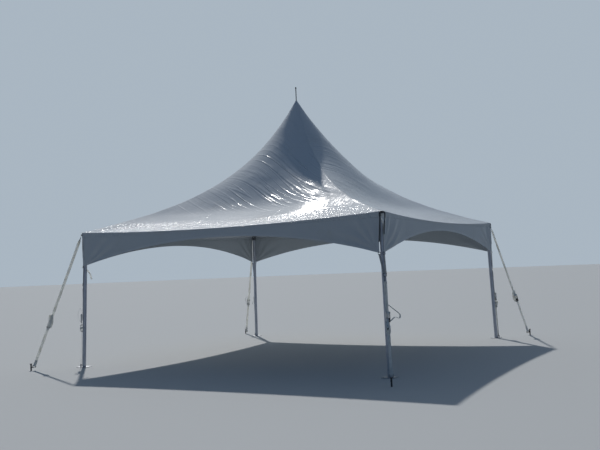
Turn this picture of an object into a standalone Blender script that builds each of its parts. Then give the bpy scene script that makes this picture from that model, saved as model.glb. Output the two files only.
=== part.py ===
"""High-peak marquee tent, about 6.1 m square, on four guyed legs.

Metres, +Z up. The origin is on the ground, under the peak. The front faces -Y.
Every corner piece is modelled on the +X half of the X-Z plane and turned into its corner.
Every side piece is modelled once, facing +X, and turned to its side.
"""

import math

import bmesh
import bpy
from mathutils import Matrix, Vector

# Membrane
FABRIC_HALF = 3.07  # from the tent's axis to the outer face of a valance at its corners
FABRIC_T = 0.004  # the sheet, drawn thicker than the real 0.7 mm
EAVE_CORNER_Z = 2.506  # outer face of the roof at a corner
EAVE_SAG = 0.081  # the eave's middle hangs this far below its corners
EAVE_BOW = 0.06  # and is drawn in this far, seen from above
PEAK_Z = 5.135  # where the four hips would meet
HIP_END_SLOPE = 0.2788  # share of the straight slope that a hip keeps at the eave
HIP_CURVE = 2.43  # how quickly a hip flattens out from the peak
PANEL_HOLLOW = 0.05  # extra hollow of a roof panel between its hips
ROUND_SHARE = 0.7  # share of the hip, from the peak, over which the plan turns from round to square
ARCH_TOP_Z = 2.27  # the valance's lower edge in the middle of a side
VALANCE_CORNER_Z = 1.87  # and at its ends
SLIT = 0.055  # the valance stops this far short of the corner, so that the leg shows

# Legs and feet
LEG_R = 0.035
LEG_WALL = 0.003
LEG_FOOT_HALF = 3.06  # from the tent's axis to a leg's foot, along X and along Y
LEG_TOP_HALF = 3.0  # and to its top, because the legs lean in
PLATE_SIDE = 0.2
PLATE_T = 0.008
SPIGOT_R = 0.027
SPIGOT_H = 0.08
PLATE_HOLE_R = 0.009
PLATE_HOLE_EDGE = 0.036  # from a hole's centre to the plate's corner

# Leg cap
CAP_WALL = 0.005
CAP_CLEAR = 0.003  # round the leg, for its lean
CAP_TOP_T = 0.01
CAP_SKIRT = 0.07
LUG_LENGTH = 0.05
LUG_T = 0.01
LUG_H = 0.04

# Straps and what holds them
STRAP_W = 0.05
STRAP_T = 0.003
BAR_R = 0.006
CHEEK_T = 0.005
CHEEK_CLEAR = 0.003  # between the strap's edge and a cheek
CHEEK_MARGIN = 0.012  # round a bar
CAP_BAR_OUT = 0.029  # from the cap's wall to the upper guy bar
GUY_BAR_DROP = 0.045  # below the top of the cap
TWIST_START = 0.03  # from the bar to where a twisted strap starts to turn
TWIST_LENGTH = 0.7
GUY_STAKE_H = 0.13
GUY_STAKE_R = 0.013
STAKE_HEAD_R = 0.021
STAKE_HEAD_T = 0.012
STAKE_ARM_R = 0.008  # the arm from the stake to the back of its clevis
STAKE_ARM_LENGTH = 0.05
STAKE_ARM_Z = 0.06
CLEVIS_DEPTH = 0.024  # from a clevis's bar to the middle of its back
FOOT_BAR_CLEAR = 0.021  # from the leg's foot to the bar on its plate
LEG_BAR_Z = 0.045
YOKE_DROP = 0.34  # from the valance's corners down to where its two tails meet
YOKE_TAIL_W = 0.03

# Ratchets
GUY_RATCHET_Z = 0.86
LEG_RATCHET_Z = 0.93
RATCHET_L = 0.11
RATCHET_H = 0.028
RATCHET_LIP = 0.004  # how far a ratchet's frame reaches behind the middle of the strap
RATCHET_PLATE_T = 0.003
ARM_CLEAR = 0.0008  # between the handle's arms and the frame
SPOOL_R = 0.01
ROLLER_R = 0.005
HANDLE_L = 0.15
HANDLE_H = 0.02
GRIP_R = 0.008

# Mast and cross cables
MAST_R = 0.03
MAST_WALL = 0.003
MAST_FOOT_Z = 2.29  # underside of the block that carries the mast
MAST_FOOT_SIDE = 0.11
MAST_FOOT_H = 0.09
MAST_FOOT_FLOOR = 0.03
MAST_FIT = 0.0006  # radial clearance of the mast in its foot and of the cap's spigot in the mast
MAST_CAP_R = 0.036
MAST_CAP_SPIGOT = 0.06
MAST_CAP_RIM = 0.02
ROD_R = 0.009
ROD_TOP_Z = 5.396
ROD_KNOB_R = 0.014
ROD_KNOB_H = 0.035
ROD_HOLE_CLEAR = 0.0006
CABLE_R = 0.005
SOCKET_R = 0.011
SOCKET_L = 0.09

# Modelling
GAP = 0.0003  # between two pieces that touch
ROUND_STEPS = 24
PANEL_ACROSS = 16
PANEL_DOWN = 12
PANEL_CROWD = 1.6  # crowds the rows of a roof panel towards the peak
TWIST_STEPS = 12
DIAGONAL = math.sqrt(2)

# Worked out from the sizes above
FOOT_X = LEG_FOOT_HALF * DIAGONAL
TOP_X = LEG_TOP_HALF * DIAGONAL
CORNER_X = FABRIC_HALF * DIAGONAL
CHEEK_S = STRAP_W / 2 + CHEEK_CLEAR + CHEEK_T / 2
EYE_HOLE_R = BAR_R + GAP
EYE_R = EYE_HOLE_R + STRAP_T
EYE_SEAT = (EYE_HOLE_R + EYE_R) / 2  # the strap starts inside the wall of its eye
CAP_BAR_X = TOP_X + LEG_R + CAP_CLEAR + CAP_WALL + CAP_BAR_OUT
FOOT_BAR_X = FOOT_X + LEG_R + FOOT_BAR_CLEAR

CORNERS = {"back_right": 45, "back_left": 135, "front_left": 225, "front_right": 315}
SIDES = {"right": 0, "back": 90, "left": 180, "front": 270}

# Each guy: how far it is swung from its corner's diagonal, how far its stake stands out from
# the cap's bar, and how far its strap is twisted
GUYS = {
    "back_right": (8, 0.95, 83),
    "back_left": (6, 0.87, 0),
    "front_left": (0, 0.95, 90),
    "front_right": (-21, 0.91, 110),
}

MATERIALS = {
    "membrane": ((0.80, 0.82, 0.83), 0.42, 0.0),
    "leg_metal": ((0.62, 0.64, 0.67), 0.38, 1.0),
    "steel": ((0.36, 0.37, 0.39), 0.45, 1.0),
    "dark_steel": ((0.07, 0.07, 0.08), 0.55, 1.0),
    "webbing": ((0.78, 0.76, 0.70), 0.85, 0.0),
    "zinc": ((0.55, 0.56, 0.57), 0.4, 1.0),
}


def clear_scene():
    """Remove what the scene starts with."""
    for obj in list(bpy.data.objects):
        bpy.data.objects.remove(obj, do_unlink=True)


def new_collection(name):
    """A collection of this name in the scene."""
    collection = bpy.data.collections.new(name)
    bpy.context.scene.collection.children.link(collection)
    return collection


def new_material(name):
    """A Principled material from the list above."""
    color, roughness, metallic = MATERIALS[name]
    material = bpy.data.materials.new(name)
    material.use_nodes = True
    shader = material.node_tree.nodes["Principled BSDF"]
    shader.inputs["Base Color"].default_value = (*color, 1.0)
    shader.inputs["Roughness"].default_value = roughness
    shader.inputs["Metallic"].default_value = metallic
    return material


def mesh_of(fill):
    """A mesh that the function fill draws with bmesh."""
    mesh = bpy.data.meshes.new("mesh")
    bm = bmesh.new()
    fill(bm)
    bmesh.ops.recalc_face_normals(bm, faces=bm.faces[:])
    bm.to_mesh(mesh)
    bm.free()
    return mesh


def box_mesh(size, centre, turn=Matrix.Identity(4)):
    """A box of this size, turned about its centre."""
    place = Matrix.Translation(centre) @ turn @ Matrix.Diagonal((*size, 1.0))
    return mesh_of(lambda bm: bmesh.ops.create_cube(bm, size=1.0, matrix=place))


def rod_mesh(radius, start, end, steps=ROUND_STEPS):
    """A solid cylinder between two points."""
    start, end = Vector(start), Vector(end)
    along = end - start
    place = Matrix.Translation((start + end) / 2) @ along.to_track_quat("Z", "X").to_matrix().to_4x4()
    return mesh_of(
        lambda bm: bmesh.ops.create_cone(
            bm,
            cap_ends=True,
            segments=steps,
            radius1=radius,
            radius2=radius,
            depth=along.length,
            matrix=place,
        )
    )


def evaluated_mesh(obj):
    """The mesh that an object's modifiers or curve settings give, welded shut."""
    graph = bpy.context.evaluated_depsgraph_get()
    mesh = bpy.data.meshes.new_from_object(obj.evaluated_get(graph))
    bm = bmesh.new()
    bm.from_mesh(mesh)
    bmesh.ops.remove_doubles(bm, verts=bm.verts[:], dist=1e-6)
    bmesh.ops.recalc_face_normals(bm, faces=bm.faces[:])
    bm.to_mesh(mesh)
    bm.free()
    return mesh


def turned_mesh(profile, steps=ROUND_STEPS):
    """A closed outline of (radius, height) points turned about Z."""
    mesh = bpy.data.meshes.new("profile")
    points = [(radius, 0, height) for radius, height in profile]
    edges = [(i, (i + 1) % len(points)) for i in range(len(points))]
    if profile[0][0] == 0 and profile[-1][0] == 0:
        edges.pop()
    mesh.from_pydata(points, edges, [])
    obj = bpy.data.objects.new("profile", mesh)
    helpers.objects.link(obj)
    screw = obj.modifiers.new("turn", "SCREW")
    screw.steps = steps
    screw.render_steps = steps
    screw.use_merge_vertices = True
    screw.merge_threshold = 0.00001
    turned = evaluated_mesh(obj)
    bpy.data.objects.remove(obj, do_unlink=True)
    return turned


def outline_mesh(outlines, width):
    """Closed outlines in X-Y, the later ones holes in the first, given a width along Z."""
    curve = bpy.data.curves.new("outline", "CURVE")
    curve.dimensions = "2D"
    curve.fill_mode = "BOTH"
    curve.extrude = width / 2
    for outline in outlines:
        spline = curve.splines.new("POLY")
        spline.points.add(len(outline) - 1)
        for point, (x, y) in zip(spline.points, outline):
            point.co = (x, y, 0, 1)
        spline.use_cyclic_u = True
    obj = bpy.data.objects.new("outline", curve)
    helpers.objects.link(obj)
    mesh = evaluated_mesh(obj)
    bpy.data.objects.remove(obj, do_unlink=True)
    return mesh


def fused_mesh(meshes, cuts=()):
    """One mesh from several that overlap, with the cuts taken out of it."""
    base = bpy.data.objects.new("base", meshes[0])
    helpers.objects.link(base)
    others = []
    for operation, group in (("UNION", meshes[1:]), ("DIFFERENCE", cuts)):
        for mesh in group:
            other = bpy.data.objects.new("other", mesh)
            other.hide_render = True
            other.display_type = "WIRE"
            helpers.objects.link(other)
            others.append(other)
            boolean = base.modifiers.new("join", "BOOLEAN")
            boolean.operation = operation
            boolean.solver = "EXACT"
            boolean.object = other
    fused = evaluated_mesh(base)
    for obj in [base, *others]:
        bpy.data.objects.remove(obj, do_unlink=True)
    return fused


def place(name, mesh, material, matrix=Matrix.Identity(4), smooth=False):
    """An object of the tent."""
    obj = bpy.data.objects.new(name, mesh)
    obj.matrix_world = matrix
    if not mesh.materials:
        mesh.materials.append(materials[material])
    if smooth:
        mesh.shade_smooth()
        mesh.set_sharp_from_angle(angle=math.radians(35))
    tent.objects.link(obj)
    return obj


def place_round(prefix, mesh, material, stations, smooth=False):
    """A copy of the piece at each corner or on each side."""
    for where, angle in stations.items():
        turn = Matrix.Rotation(math.radians(angle), 4, "Z")
        place(f"{prefix}_{where}", mesh, material, turn, smooth)


def smooth_step(share):
    """0 to 1, level at both ends."""
    share = min(max(share, 0.0), 1.0)
    return share * share * (3 - 2 * share)


def hip_height(share):
    """Height of a hip at this share of the way from the axis to the corner."""
    curve = HIP_END_SLOPE + (1 - HIP_END_SLOPE) * math.exp(-HIP_CURVE * share)
    return EAVE_CORNER_Z + (PEAK_Z - EAVE_CORNER_Z) * (1 - share) * curve


def roof_point(share, across):
    """A point of the roof's outer face on the side that faces +X.

    share runs from the peak to the eave, and across from one hip to the other.
    """
    half = share * FABRIC_HALF
    squareness = smooth_step(share / ROUND_SHARE)
    angle = across * math.pi / 4
    arc = Vector((math.cos(angle), math.sin(angle), 0)) * half * DIAGONAL
    belly = 1 - across * across
    side = Vector((half - EAVE_BOW * share * belly, half * across, 0))
    point = arc.lerp(side, squareness)
    hollow = EAVE_SAG * share + PANEL_HOLLOW * math.sin(math.pi * share)
    point.z = hip_height(share) - squareness * hollow * belly
    return point


def roof_height_on_diagonal(x):
    """Height of the roof's inner face above a point of the corner's plane."""
    return hip_height(x / CORNER_X) - FABRIC_T


def cap_top_height():
    """The highest level of the leg's cap that stays under the roof all round its rim."""
    rim = LEG_R + CAP_CLEAR + CAP_WALL
    lowest = math.inf
    for step in range(ROUND_STEPS):
        angle = 2 * math.pi * step / ROUND_STEPS
        x = TOP_X + rim * math.cos(angle)
        aside = abs(rim * math.sin(angle))
        # Aside of the hip, the same point lies further out and nearer the middle of a panel.
        share = (x + aside) / CORNER_X
        across = (x - aside) / (x + aside)
        belly = 1 - across * across
        lowest = min(lowest, hip_height(min(share, 1.0)) - EAVE_SAG * belly)
    return lowest - FABRIC_T - GAP


CAP_TOP_Z = cap_top_height()
LEAN = math.atan2(FOOT_X - TOP_X, CAP_TOP_Z)
LEG_TOP_Z = CAP_TOP_Z - CAP_TOP_T - GAP - LEG_R * math.sin(LEAN)
LEG_LOW_Z = PLATE_T + GAP + LEG_R * math.sin(LEAN)
LUG_Z = CAP_TOP_Z - CAP_TOP_T - CAP_SKIRT / 2
CABLE_FOOT_Z = MAST_FOOT_Z + MAST_FOOT_H / 2


def leg_axis_x(z):
    """Where a leg's axis is at this height, in its corner's plane."""
    return FOOT_X - math.tan(LEAN) * z


def roof_panel_mesh():
    """One of the four panels of the roof, from the rod's hole to the eave."""
    hole_share = (ROD_R + ROD_HOLE_CLEAR) / CORNER_X

    def fill(bm):
        bmesh.ops.create_grid(bm, x_segments=PANEL_DOWN, y_segments=PANEL_ACROSS, size=1.0)
        for vert in bm.verts:
            down = ((vert.co.x + 1) / 2) ** PANEL_CROWD
            across = vert.co.y
            point = roof_point(hole_share + (1 - hole_share) * down, across)
            point.y -= across * GAP / DIAGONAL
            vert.co = point
        thicken(bm, (0, 0, -FABRIC_T))

    return mesh_of(fill)


def thicken(bm, offset):
    """Close the sheet in bm into a solid with a copy of it, moved by offset."""
    copied = bmesh.ops.extrude_face_region(bm, geom=bm.faces[:], use_keep_orig=True)
    moved = [item for item in copied["geom"] if isinstance(item, bmesh.types.BMVert)]
    bmesh.ops.translate(bm, verts=moved, vec=offset)


def valance_mesh():
    """The skirt below the eave of one side, with its lower edge cut to an arch."""
    reach = (FABRIC_HALF - SLIT) / FABRIC_HALF

    def fill(bm):
        bmesh.ops.create_grid(bm, x_segments=2, y_segments=PANEL_ACROSS, size=1.0)
        for vert in bm.verts:
            across = max(-reach, min(reach, vert.co.y))
            down = (vert.co.x + 1) / 2
            belly = 1 - across * across
            top = EAVE_CORNER_Z - EAVE_SAG * belly - FABRIC_T - GAP
            low = ARCH_TOP_Z - (ARCH_TOP_Z - VALANCE_CORNER_Z) * (across / reach) ** 2
            x = FABRIC_HALF - EAVE_BOW * belly
            vert.co = (x, across * FABRIC_HALF, top + (low - top) * down)
        thicken(bm, (-FABRIC_T, 0, 0))

    return mesh_of(fill)


def leg_mesh():
    """The leg's tube, leaning in towards the tent."""
    length = (LEG_TOP_Z - LEG_LOW_Z) / math.cos(LEAN)
    wall = [(LEG_R, length), (LEG_R, 0), (LEG_R - LEG_WALL, 0), (LEG_R - LEG_WALL, length)]
    mesh = turned_mesh(wall)
    lean = Matrix.Rotation(-LEAN, 4, "Y")
    mesh.transform(Matrix.Translation((leg_axis_x(LEG_LOW_Z), 0, LEG_LOW_Z)) @ lean)
    return mesh


def cheek_pair(x, z, depth, height):
    """Two plates on either side of a strap."""
    size = (depth, CHEEK_T, height)
    return [box_mesh(size, (x, side * CHEEK_S, z)) for side in (-1, 1)]


def strap_bar(x, z):
    """The bar between two cheeks, which a strap's eye goes round."""
    reach = CHEEK_S + CHEEK_T / 2 - 0.001
    return rod_mesh(BAR_R, (x, -reach, z), (x, reach, z), 16)


def foot_plate_mesh():
    """Base plate with the leg's spigot, the bar for the leg strap and two peg holes."""
    quarter = Matrix.Rotation(math.pi / 4, 4, "Z")
    plate = box_mesh((PLATE_SIDE, PLATE_SIDE, PLATE_T), (FOOT_X, 0, PLATE_T / 2), quarter)
    spigot = rod_mesh(SPIGOT_R, (FOOT_X, 0, PLATE_T / 2), (FOOT_X, 0, PLATE_T + SPIGOT_H))
    bar_x = FOOT_BAR_X
    top = LEG_BAR_Z + CHEEK_MARGIN
    low = PLATE_T / 2
    cheeks = cheek_pair(bar_x, (top + low) / 2, 2 * CHEEK_MARGIN, top - low)
    hole_s = PLATE_SIDE / DIAGONAL - PLATE_HOLE_EDGE
    holes = [
        rod_mesh(PLATE_HOLE_R, (FOOT_X, side * hole_s, -PLATE_T), (FOOT_X, side * hole_s, 2 * PLATE_T), 16)
        for side in (-1, 1)
    ]
    return fused_mesh([plate, spigot, *cheeks, strap_bar(bar_x, LEG_BAR_Z)], holes)


def leg_cap_mesh():
    """Cap over the leg's top, with the guy's bar outside and the cable's lug inside."""
    inner = LEG_R + CAP_CLEAR
    outer = inner + CAP_WALL
    under = CAP_TOP_Z - CAP_TOP_T
    skirt = CAP_TOP_Z - CAP_TOP_T - CAP_SKIRT
    cup = turned_mesh(
        [(0, CAP_TOP_Z), (outer, CAP_TOP_Z), (outer, skirt), (inner, skirt), (inner, under), (0, under)]
    )
    cup.transform(Matrix.Translation((TOP_X, 0, 0)))
    bar_x = CAP_BAR_X
    bar_z = CAP_TOP_Z - GUY_BAR_DROP
    cheek_start = TOP_X + math.sqrt(inner**2 - (CHEEK_S - CHEEK_T / 2) ** 2) + CAP_WALL / 2
    cheek_end = bar_x + CHEEK_MARGIN
    cheeks = cheek_pair((cheek_start + cheek_end) / 2, bar_z, cheek_end - cheek_start, 2 * CHEEK_MARGIN)
    lug_start = TOP_X - inner - CAP_WALL / 2
    lug = box_mesh((LUG_LENGTH, LUG_T, LUG_H), (lug_start - LUG_LENGTH / 2, 0, LUG_Z))
    return fused_mesh([cup, *cheeks, strap_bar(bar_x, bar_z), lug])


def circle_points(radius, steps):
    """Points round a circle."""
    angles = [2 * math.pi * i / steps for i in range(steps)]
    return [(radius * math.cos(angle), radius * math.sin(angle)) for angle in angles]


def along_strap(start, end, twist=0):
    """A frame at start with X along the strap, Y out from the tent and Z along its width."""
    along = (Vector(end) - Vector(start)).normalized()
    aside = Vector((0, -1, 0))
    width = (aside - along * aside.dot(along)).normalized()
    out = width.cross(along)
    frame = Matrix((along, out, width)).transposed().to_4x4()
    return Matrix.Translation(start) @ frame @ Matrix.Rotation(math.radians(twist), 4, "X")


def strap_eye_mesh():
    """The sewn eye at a strap's end, round a bar along Z."""
    return outline_mesh([circle_points(EYE_R, ROUND_STEPS), circle_points(EYE_HOLE_R, 12)], STRAP_W)


def band_mesh(start, end, twist=0, skew=0):
    """A flat strap along X, with its width along Z at the start.

    It is turned about X by the twist, in degrees, and its start is cut askew by the skew.
    """
    rows = [start]
    if twist:
        rows += [TWIST_START + TWIST_LENGTH * i / TWIST_STEPS for i in range(TWIST_STEPS + 1)]
    rows.append(end)

    def fill(bm):
        bmesh.ops.create_grid(bm, x_segments=len(rows) - 1, y_segments=1, size=1.0)
        for vert in bm.verts:
            x = rows[round((vert.co.x + 1) / 2 * (len(rows) - 1))]
            z = vert.co.y * STRAP_W / 2
            lead = z * math.tan(skew) if x == start else 0
            vert.co = (x + lead, -STRAP_T / 2, z)
        thicken(bm, (0, STRAP_T, 0))
        for vert in bm.verts:
            turned = smooth_step((vert.co.x - TWIST_START) / TWIST_LENGTH) * math.radians(twist)
            vert.co = Matrix.Rotation(turned, 3, "X") @ vert.co

    return mesh_of(fill)


def guy_ends(corner):
    """The guy strap's two bars, on the leg's cap and in the stake's clevis, and the clevis's back."""
    swing, reach, _ = GUYS[corner]
    out = Matrix.Rotation(math.radians(swing), 3, "Z") @ Vector((1, 0, 0))
    top = Vector((CAP_BAR_X, 0, CAP_TOP_Z - GUY_BAR_DROP))
    back = Vector((CAP_BAR_X, 0, STAKE_ARM_Z)) + out * (reach - STAKE_ARM_LENGTH)
    low = back - (back - top).normalized() * CLEVIS_DEPTH
    return top, low, back


def leg_strap_ends():
    """Where the leg strap's yoke meets the valances, and the bar on the foot plate."""
    top = ((FABRIC_HALF - SLIT / 2) * DIAGONAL - FABRIC_T / 2, 0, VALANCE_CORNER_Z - GAP)
    low = (FOOT_BAR_X, 0, LEG_BAR_Z)
    return Vector(top), Vector(low)


def guy_strap_mesh(corner):
    """The strap from the leg's cap out to the stake."""
    top, low, _ = guy_ends(corner)
    twist = GUYS[corner][2]
    length = (low - top).length
    along = (low - top).normalized()
    skew = -math.asin(along.y)
    upper_eye = strap_eye_mesh()
    upper_eye.transform(Matrix.Rotation(skew, 4, "Y"))
    lower_eye = strap_eye_mesh()
    lower_eye.transform(Matrix.Translation((length, 0, 0)) @ Matrix.Rotation(math.radians(twist), 4, "X"))
    band = band_mesh(EYE_SEAT, length - EYE_SEAT, twist, skew)
    mesh = fused_mesh([band, upper_eye, lower_eye])
    mesh.transform(along_strap(top, low))
    return mesh


def leg_strap_mesh():
    """The strap from both valance corners, joined in a yoke, down to the foot plate."""
    top, low = leg_strap_ends()
    length = (low - top).length
    band = band_mesh(YOKE_DROP, length - EYE_SEAT)
    eye = strap_eye_mesh()
    eye.transform(Matrix.Translation((length, 0, 0)))
    spread = SLIT / DIAGONAL
    inner = spread - YOKE_TAIL_W / 2
    outer = spread + YOKE_TAIL_W / 2
    half = STRAP_W / 2
    crotch = YOKE_DROP * 0.7
    yoke_outline = [
        (0, -outer),
        (0, -inner),
        (crotch, 0),
        (0, inner),
        (0, outer),
        (YOKE_DROP, half),
        (YOKE_DROP + STRAP_W, half),
        (YOKE_DROP + STRAP_W, -half),
        (YOKE_DROP, -half),
    ]
    yoke = outline_mesh([yoke_outline], STRAP_T)
    yoke.transform(Matrix.Rotation(math.pi / 2, 4, "X"))
    mesh = fused_mesh([band, yoke, eye])
    mesh.transform(along_strap(top, low))
    return mesh


def ratchet_mesh(start, end, z, twist=0):
    """A closed ratchet buckle on the strap from start to end, centred at height z."""
    plate_z = STRAP_W / 2 + CHEEK_CLEAR + RATCHET_PLATE_T / 2
    plate_y = RATCHET_H / 2 - RATCHET_LIP
    plate_size = (RATCHET_L, RATCHET_H, RATCHET_PLATE_T)
    plates = [box_mesh(plate_size, (0, plate_y, side * plate_z)) for side in (-1, 1)]
    spool_y = STRAP_T / 2 + GAP + SPOOL_R
    spool_x = -RATCHET_L / 2 + 2 * SPOOL_R
    arm_z = plate_z + RATCHET_PLATE_T + ARM_CLEAR
    spool = rod_mesh(SPOOL_R, (spool_x, spool_y, -arm_z), (spool_x, spool_y, arm_z), 16)
    roller_x = RATCHET_L / 2 - 2 * ROLLER_R
    roller_y = STRAP_T / 2 + GAP + ROLLER_R
    roller = rod_mesh(ROLLER_R, (roller_x, roller_y, -plate_z), (roller_x, roller_y, plate_z), 12)
    arm_x = spool_x + HANDLE_L / 2 - SPOOL_R
    arm_size = (HANDLE_L, HANDLE_H, RATCHET_PLATE_T)
    arms = [box_mesh(arm_size, (arm_x, spool_y, side * arm_z)) for side in (-1, 1)]
    grip_x = arm_x + HANDLE_L / 2 - GRIP_R
    grip = rod_mesh(GRIP_R, (grip_x, spool_y, -arm_z), (grip_x, spool_y, arm_z), 16)
    mesh = fused_mesh([*plates, spool, roller, *arms, grip])
    share = (z - start.z) / (end.z - start.z)
    mesh.transform(along_strap(start + (end - start) * share, end, twist))
    return mesh


def clevis_mesh(bar, back, twist):
    """A clevis with its bar at a strap's end, in the plane of the strap."""
    reach = CHEEK_S + CHEEK_T / 2 - 0.001
    depth = CLEVIS_DEPTH + CHEEK_MARGIN
    pieces = [
        box_mesh((depth, 2 * CHEEK_MARGIN, CHEEK_T), (depth / 2 - CHEEK_MARGIN, 0, side * CHEEK_S))
        for side in (-1, 1)
    ]
    pieces.append(box_mesh((CHEEK_T, 2 * CHEEK_MARGIN, 2 * CHEEK_S + CHEEK_T), (CLEVIS_DEPTH, 0, 0)))
    pieces.append(rod_mesh(BAR_R, (0, 0, -reach), (0, 0, reach), 16))
    mesh = fused_mesh(pieces)
    mesh.transform(along_strap(bar, back, twist))
    return mesh


def guy_stake_mesh(corner):
    """What shows of the stake above the ground, with the clevis for the guy strap on its arm."""
    top, low, back = guy_ends(corner)
    out = Vector((back.x - top.x, back.y - top.y, 0)).normalized()
    foot = back + out * STAKE_ARM_LENGTH
    foot.z = 0
    up = Vector((0, 0, 1))
    shank = rod_mesh(GUY_STAKE_R, foot, foot + up * (GUY_STAKE_H - STAKE_HEAD_T / 2))
    head = rod_mesh(STAKE_HEAD_R, foot + up * (GUY_STAKE_H - STAKE_HEAD_T), foot + up * GUY_STAKE_H)
    arm = rod_mesh(STAKE_ARM_R, back, foot + up * STAKE_ARM_Z, 16)
    return fused_mesh([shank, head, arm, clevis_mesh(low, back, GUYS[corner][2])])


def cross_cable_mesh():
    """Half of a cross cable, from a leg's cap to the mast's foot, with its end sockets."""
    start = Vector((TOP_X - LEG_R - CAP_CLEAR - CAP_WALL / 2 - LUG_LENGTH - GAP, 0, LUG_Z))
    end = Vector((MAST_FOOT_SIDE / 2 + GAP, 0, CABLE_FOOT_Z))
    along = (end - start).normalized()
    slack = SOCKET_R * abs(along.z)
    start += along * slack
    end -= along * slack
    wire = rod_mesh(CABLE_R, start, end, 8)
    sockets = [
        rod_mesh(SOCKET_R, start, start + along * SOCKET_L, 12),
        rod_mesh(SOCKET_R, end - along * SOCKET_L, end, 12),
    ]
    return fused_mesh([wire, *sockets])


def mast_foot_mesh():
    """The block on the cross cables, bored for the mast."""
    quarter = Matrix.Rotation(math.pi / 4, 4, "Z")
    size = (MAST_FOOT_SIDE, MAST_FOOT_SIDE, MAST_FOOT_H)
    block = box_mesh(size, (0, 0, MAST_FOOT_Z + MAST_FOOT_H / 2), quarter)
    floor = MAST_FOOT_Z + MAST_FOOT_FLOOR
    bore = rod_mesh(MAST_R + MAST_FIT, (0, 0, floor), (0, 0, floor + 2 * MAST_FOOT_H))
    return fused_mesh([block], [bore])


def mast_cap_profile():
    """The cap's outline: a cone that follows the roof, a rim and a spigot."""
    spigot = MAST_R - MAST_WALL - MAST_FIT
    top = [(r, roof_height_on_diagonal(r) - GAP) for r in (ROD_R + MAST_WALL, MAST_CAP_R)]
    seat = top[-1][1] - MAST_CAP_RIM
    foot = seat - MAST_CAP_SPIGOT
    return [(0, top[0][1]), *top, (MAST_CAP_R, seat), (spigot, seat), (spigot, foot), (0, foot)]


def mast_mesh():
    """The mast's tube, from its foot to its cap."""
    low = MAST_FOOT_Z + MAST_FOOT_FLOOR + GAP
    high = mast_cap_profile()[3][1] - GAP
    inner = MAST_R - MAST_WALL
    return turned_mesh([(MAST_R, high), (MAST_R, low), (inner, low), (inner, high)])


def peak_rod_mesh():
    """The rod that stands on the mast's cap, through the roof, with its knob."""
    low = mast_cap_profile()[0][1] + GAP
    neck = ROD_TOP_Z - ROD_KNOB_H
    outline = [
        (0, ROD_TOP_Z),
        (ROD_KNOB_R * 0.7, ROD_TOP_Z),
        (ROD_KNOB_R, ROD_TOP_Z - ROD_KNOB_H * 0.3),
        (ROD_KNOB_R, neck + ROD_KNOB_H * 0.2),
        (ROD_R, neck),
        (ROD_R, low),
        (0, low),
    ]
    return turned_mesh(outline)


def build_membrane():
    """The four roof panels and the four valances."""
    place_round("roof_panel", roof_panel_mesh(), "membrane", SIDES, smooth=True)
    place_round("valance", valance_mesh(), "membrane", SIDES, smooth=True)


def build_corners():
    """The legs, their caps and plates, and the straps that pull the valances down."""
    place_round("leg", leg_mesh(), "leg_metal", CORNERS, smooth=True)
    place_round("leg_cap", leg_cap_mesh(), "steel", CORNERS, smooth=True)
    place_round("foot_plate", foot_plate_mesh(), "steel", CORNERS, smooth=True)
    place_round("leg_strap", leg_strap_mesh(), "webbing", CORNERS)
    place_round("leg_ratchet", ratchet_mesh(*leg_strap_ends(), LEG_RATCHET_Z), "zinc", CORNERS, smooth=True)


def build_guys():
    """The strap, the ratchet and the stake that hold each leg out."""
    for corner, angle in CORNERS.items():
        top, low, _ = guy_ends(corner)
        turn = Matrix.Rotation(math.radians(angle), 4, "Z")
        ratchet = ratchet_mesh(top, low, GUY_RATCHET_Z, GUYS[corner][2])
        place(f"guy_strap_{corner}", guy_strap_mesh(corner), "webbing", turn, smooth=True)
        place(f"guy_ratchet_{corner}", ratchet, "zinc", turn, smooth=True)
        place(f"guy_stake_{corner}", guy_stake_mesh(corner), "dark_steel", turn, smooth=True)


def build_mast():
    """The mast that holds up the peak, and the cables that carry it."""
    place_round("cross_cable", cross_cable_mesh(), "steel", CORNERS, smooth=True)
    place("mast_foot", mast_foot_mesh(), "steel", smooth=True)
    place("mast", mast_mesh(), "leg_metal", smooth=True)
    place("mast_cap", turned_mesh(mast_cap_profile()), "steel", smooth=True)
    place("peak_rod", peak_rod_mesh(), "dark_steel", smooth=True)


clear_scene()
tent = new_collection("marquee_tent")
helpers = new_collection("helpers")
helpers.hide_render = True
materials = {name: new_material(name) for name in MATERIALS}
build_membrane()
build_corners()
build_guys()
build_mast()
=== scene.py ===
"""Looks of a high-peak marquee tent: its membrane, legs, straps, ratchets, cables and mast."""

import logging
import math
from collections.abc import Callable, Sequence
from dataclasses import dataclass, field
from enum import Enum
from typing import Any

import bmesh
import bpy
from mathutils import Matrix, Vector, noise


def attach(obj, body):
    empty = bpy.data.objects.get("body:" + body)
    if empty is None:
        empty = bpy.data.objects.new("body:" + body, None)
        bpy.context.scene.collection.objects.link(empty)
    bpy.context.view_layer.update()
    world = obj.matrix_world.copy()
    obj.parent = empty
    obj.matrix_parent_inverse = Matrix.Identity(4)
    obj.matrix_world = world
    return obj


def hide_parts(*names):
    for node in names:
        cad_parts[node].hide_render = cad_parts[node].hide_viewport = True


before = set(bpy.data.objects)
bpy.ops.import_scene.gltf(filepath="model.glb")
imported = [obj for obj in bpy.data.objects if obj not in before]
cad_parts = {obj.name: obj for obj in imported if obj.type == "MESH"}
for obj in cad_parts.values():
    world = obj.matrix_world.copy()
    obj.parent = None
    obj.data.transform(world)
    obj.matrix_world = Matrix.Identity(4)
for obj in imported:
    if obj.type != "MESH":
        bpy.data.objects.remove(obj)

LOG = logging.getLogger("marquee")
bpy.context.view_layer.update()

Colour = tuple[float, float, float]
Spot = tuple[float, float]
Offset = tuple[float, float, float]
Path = Sequence[Vector]

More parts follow.
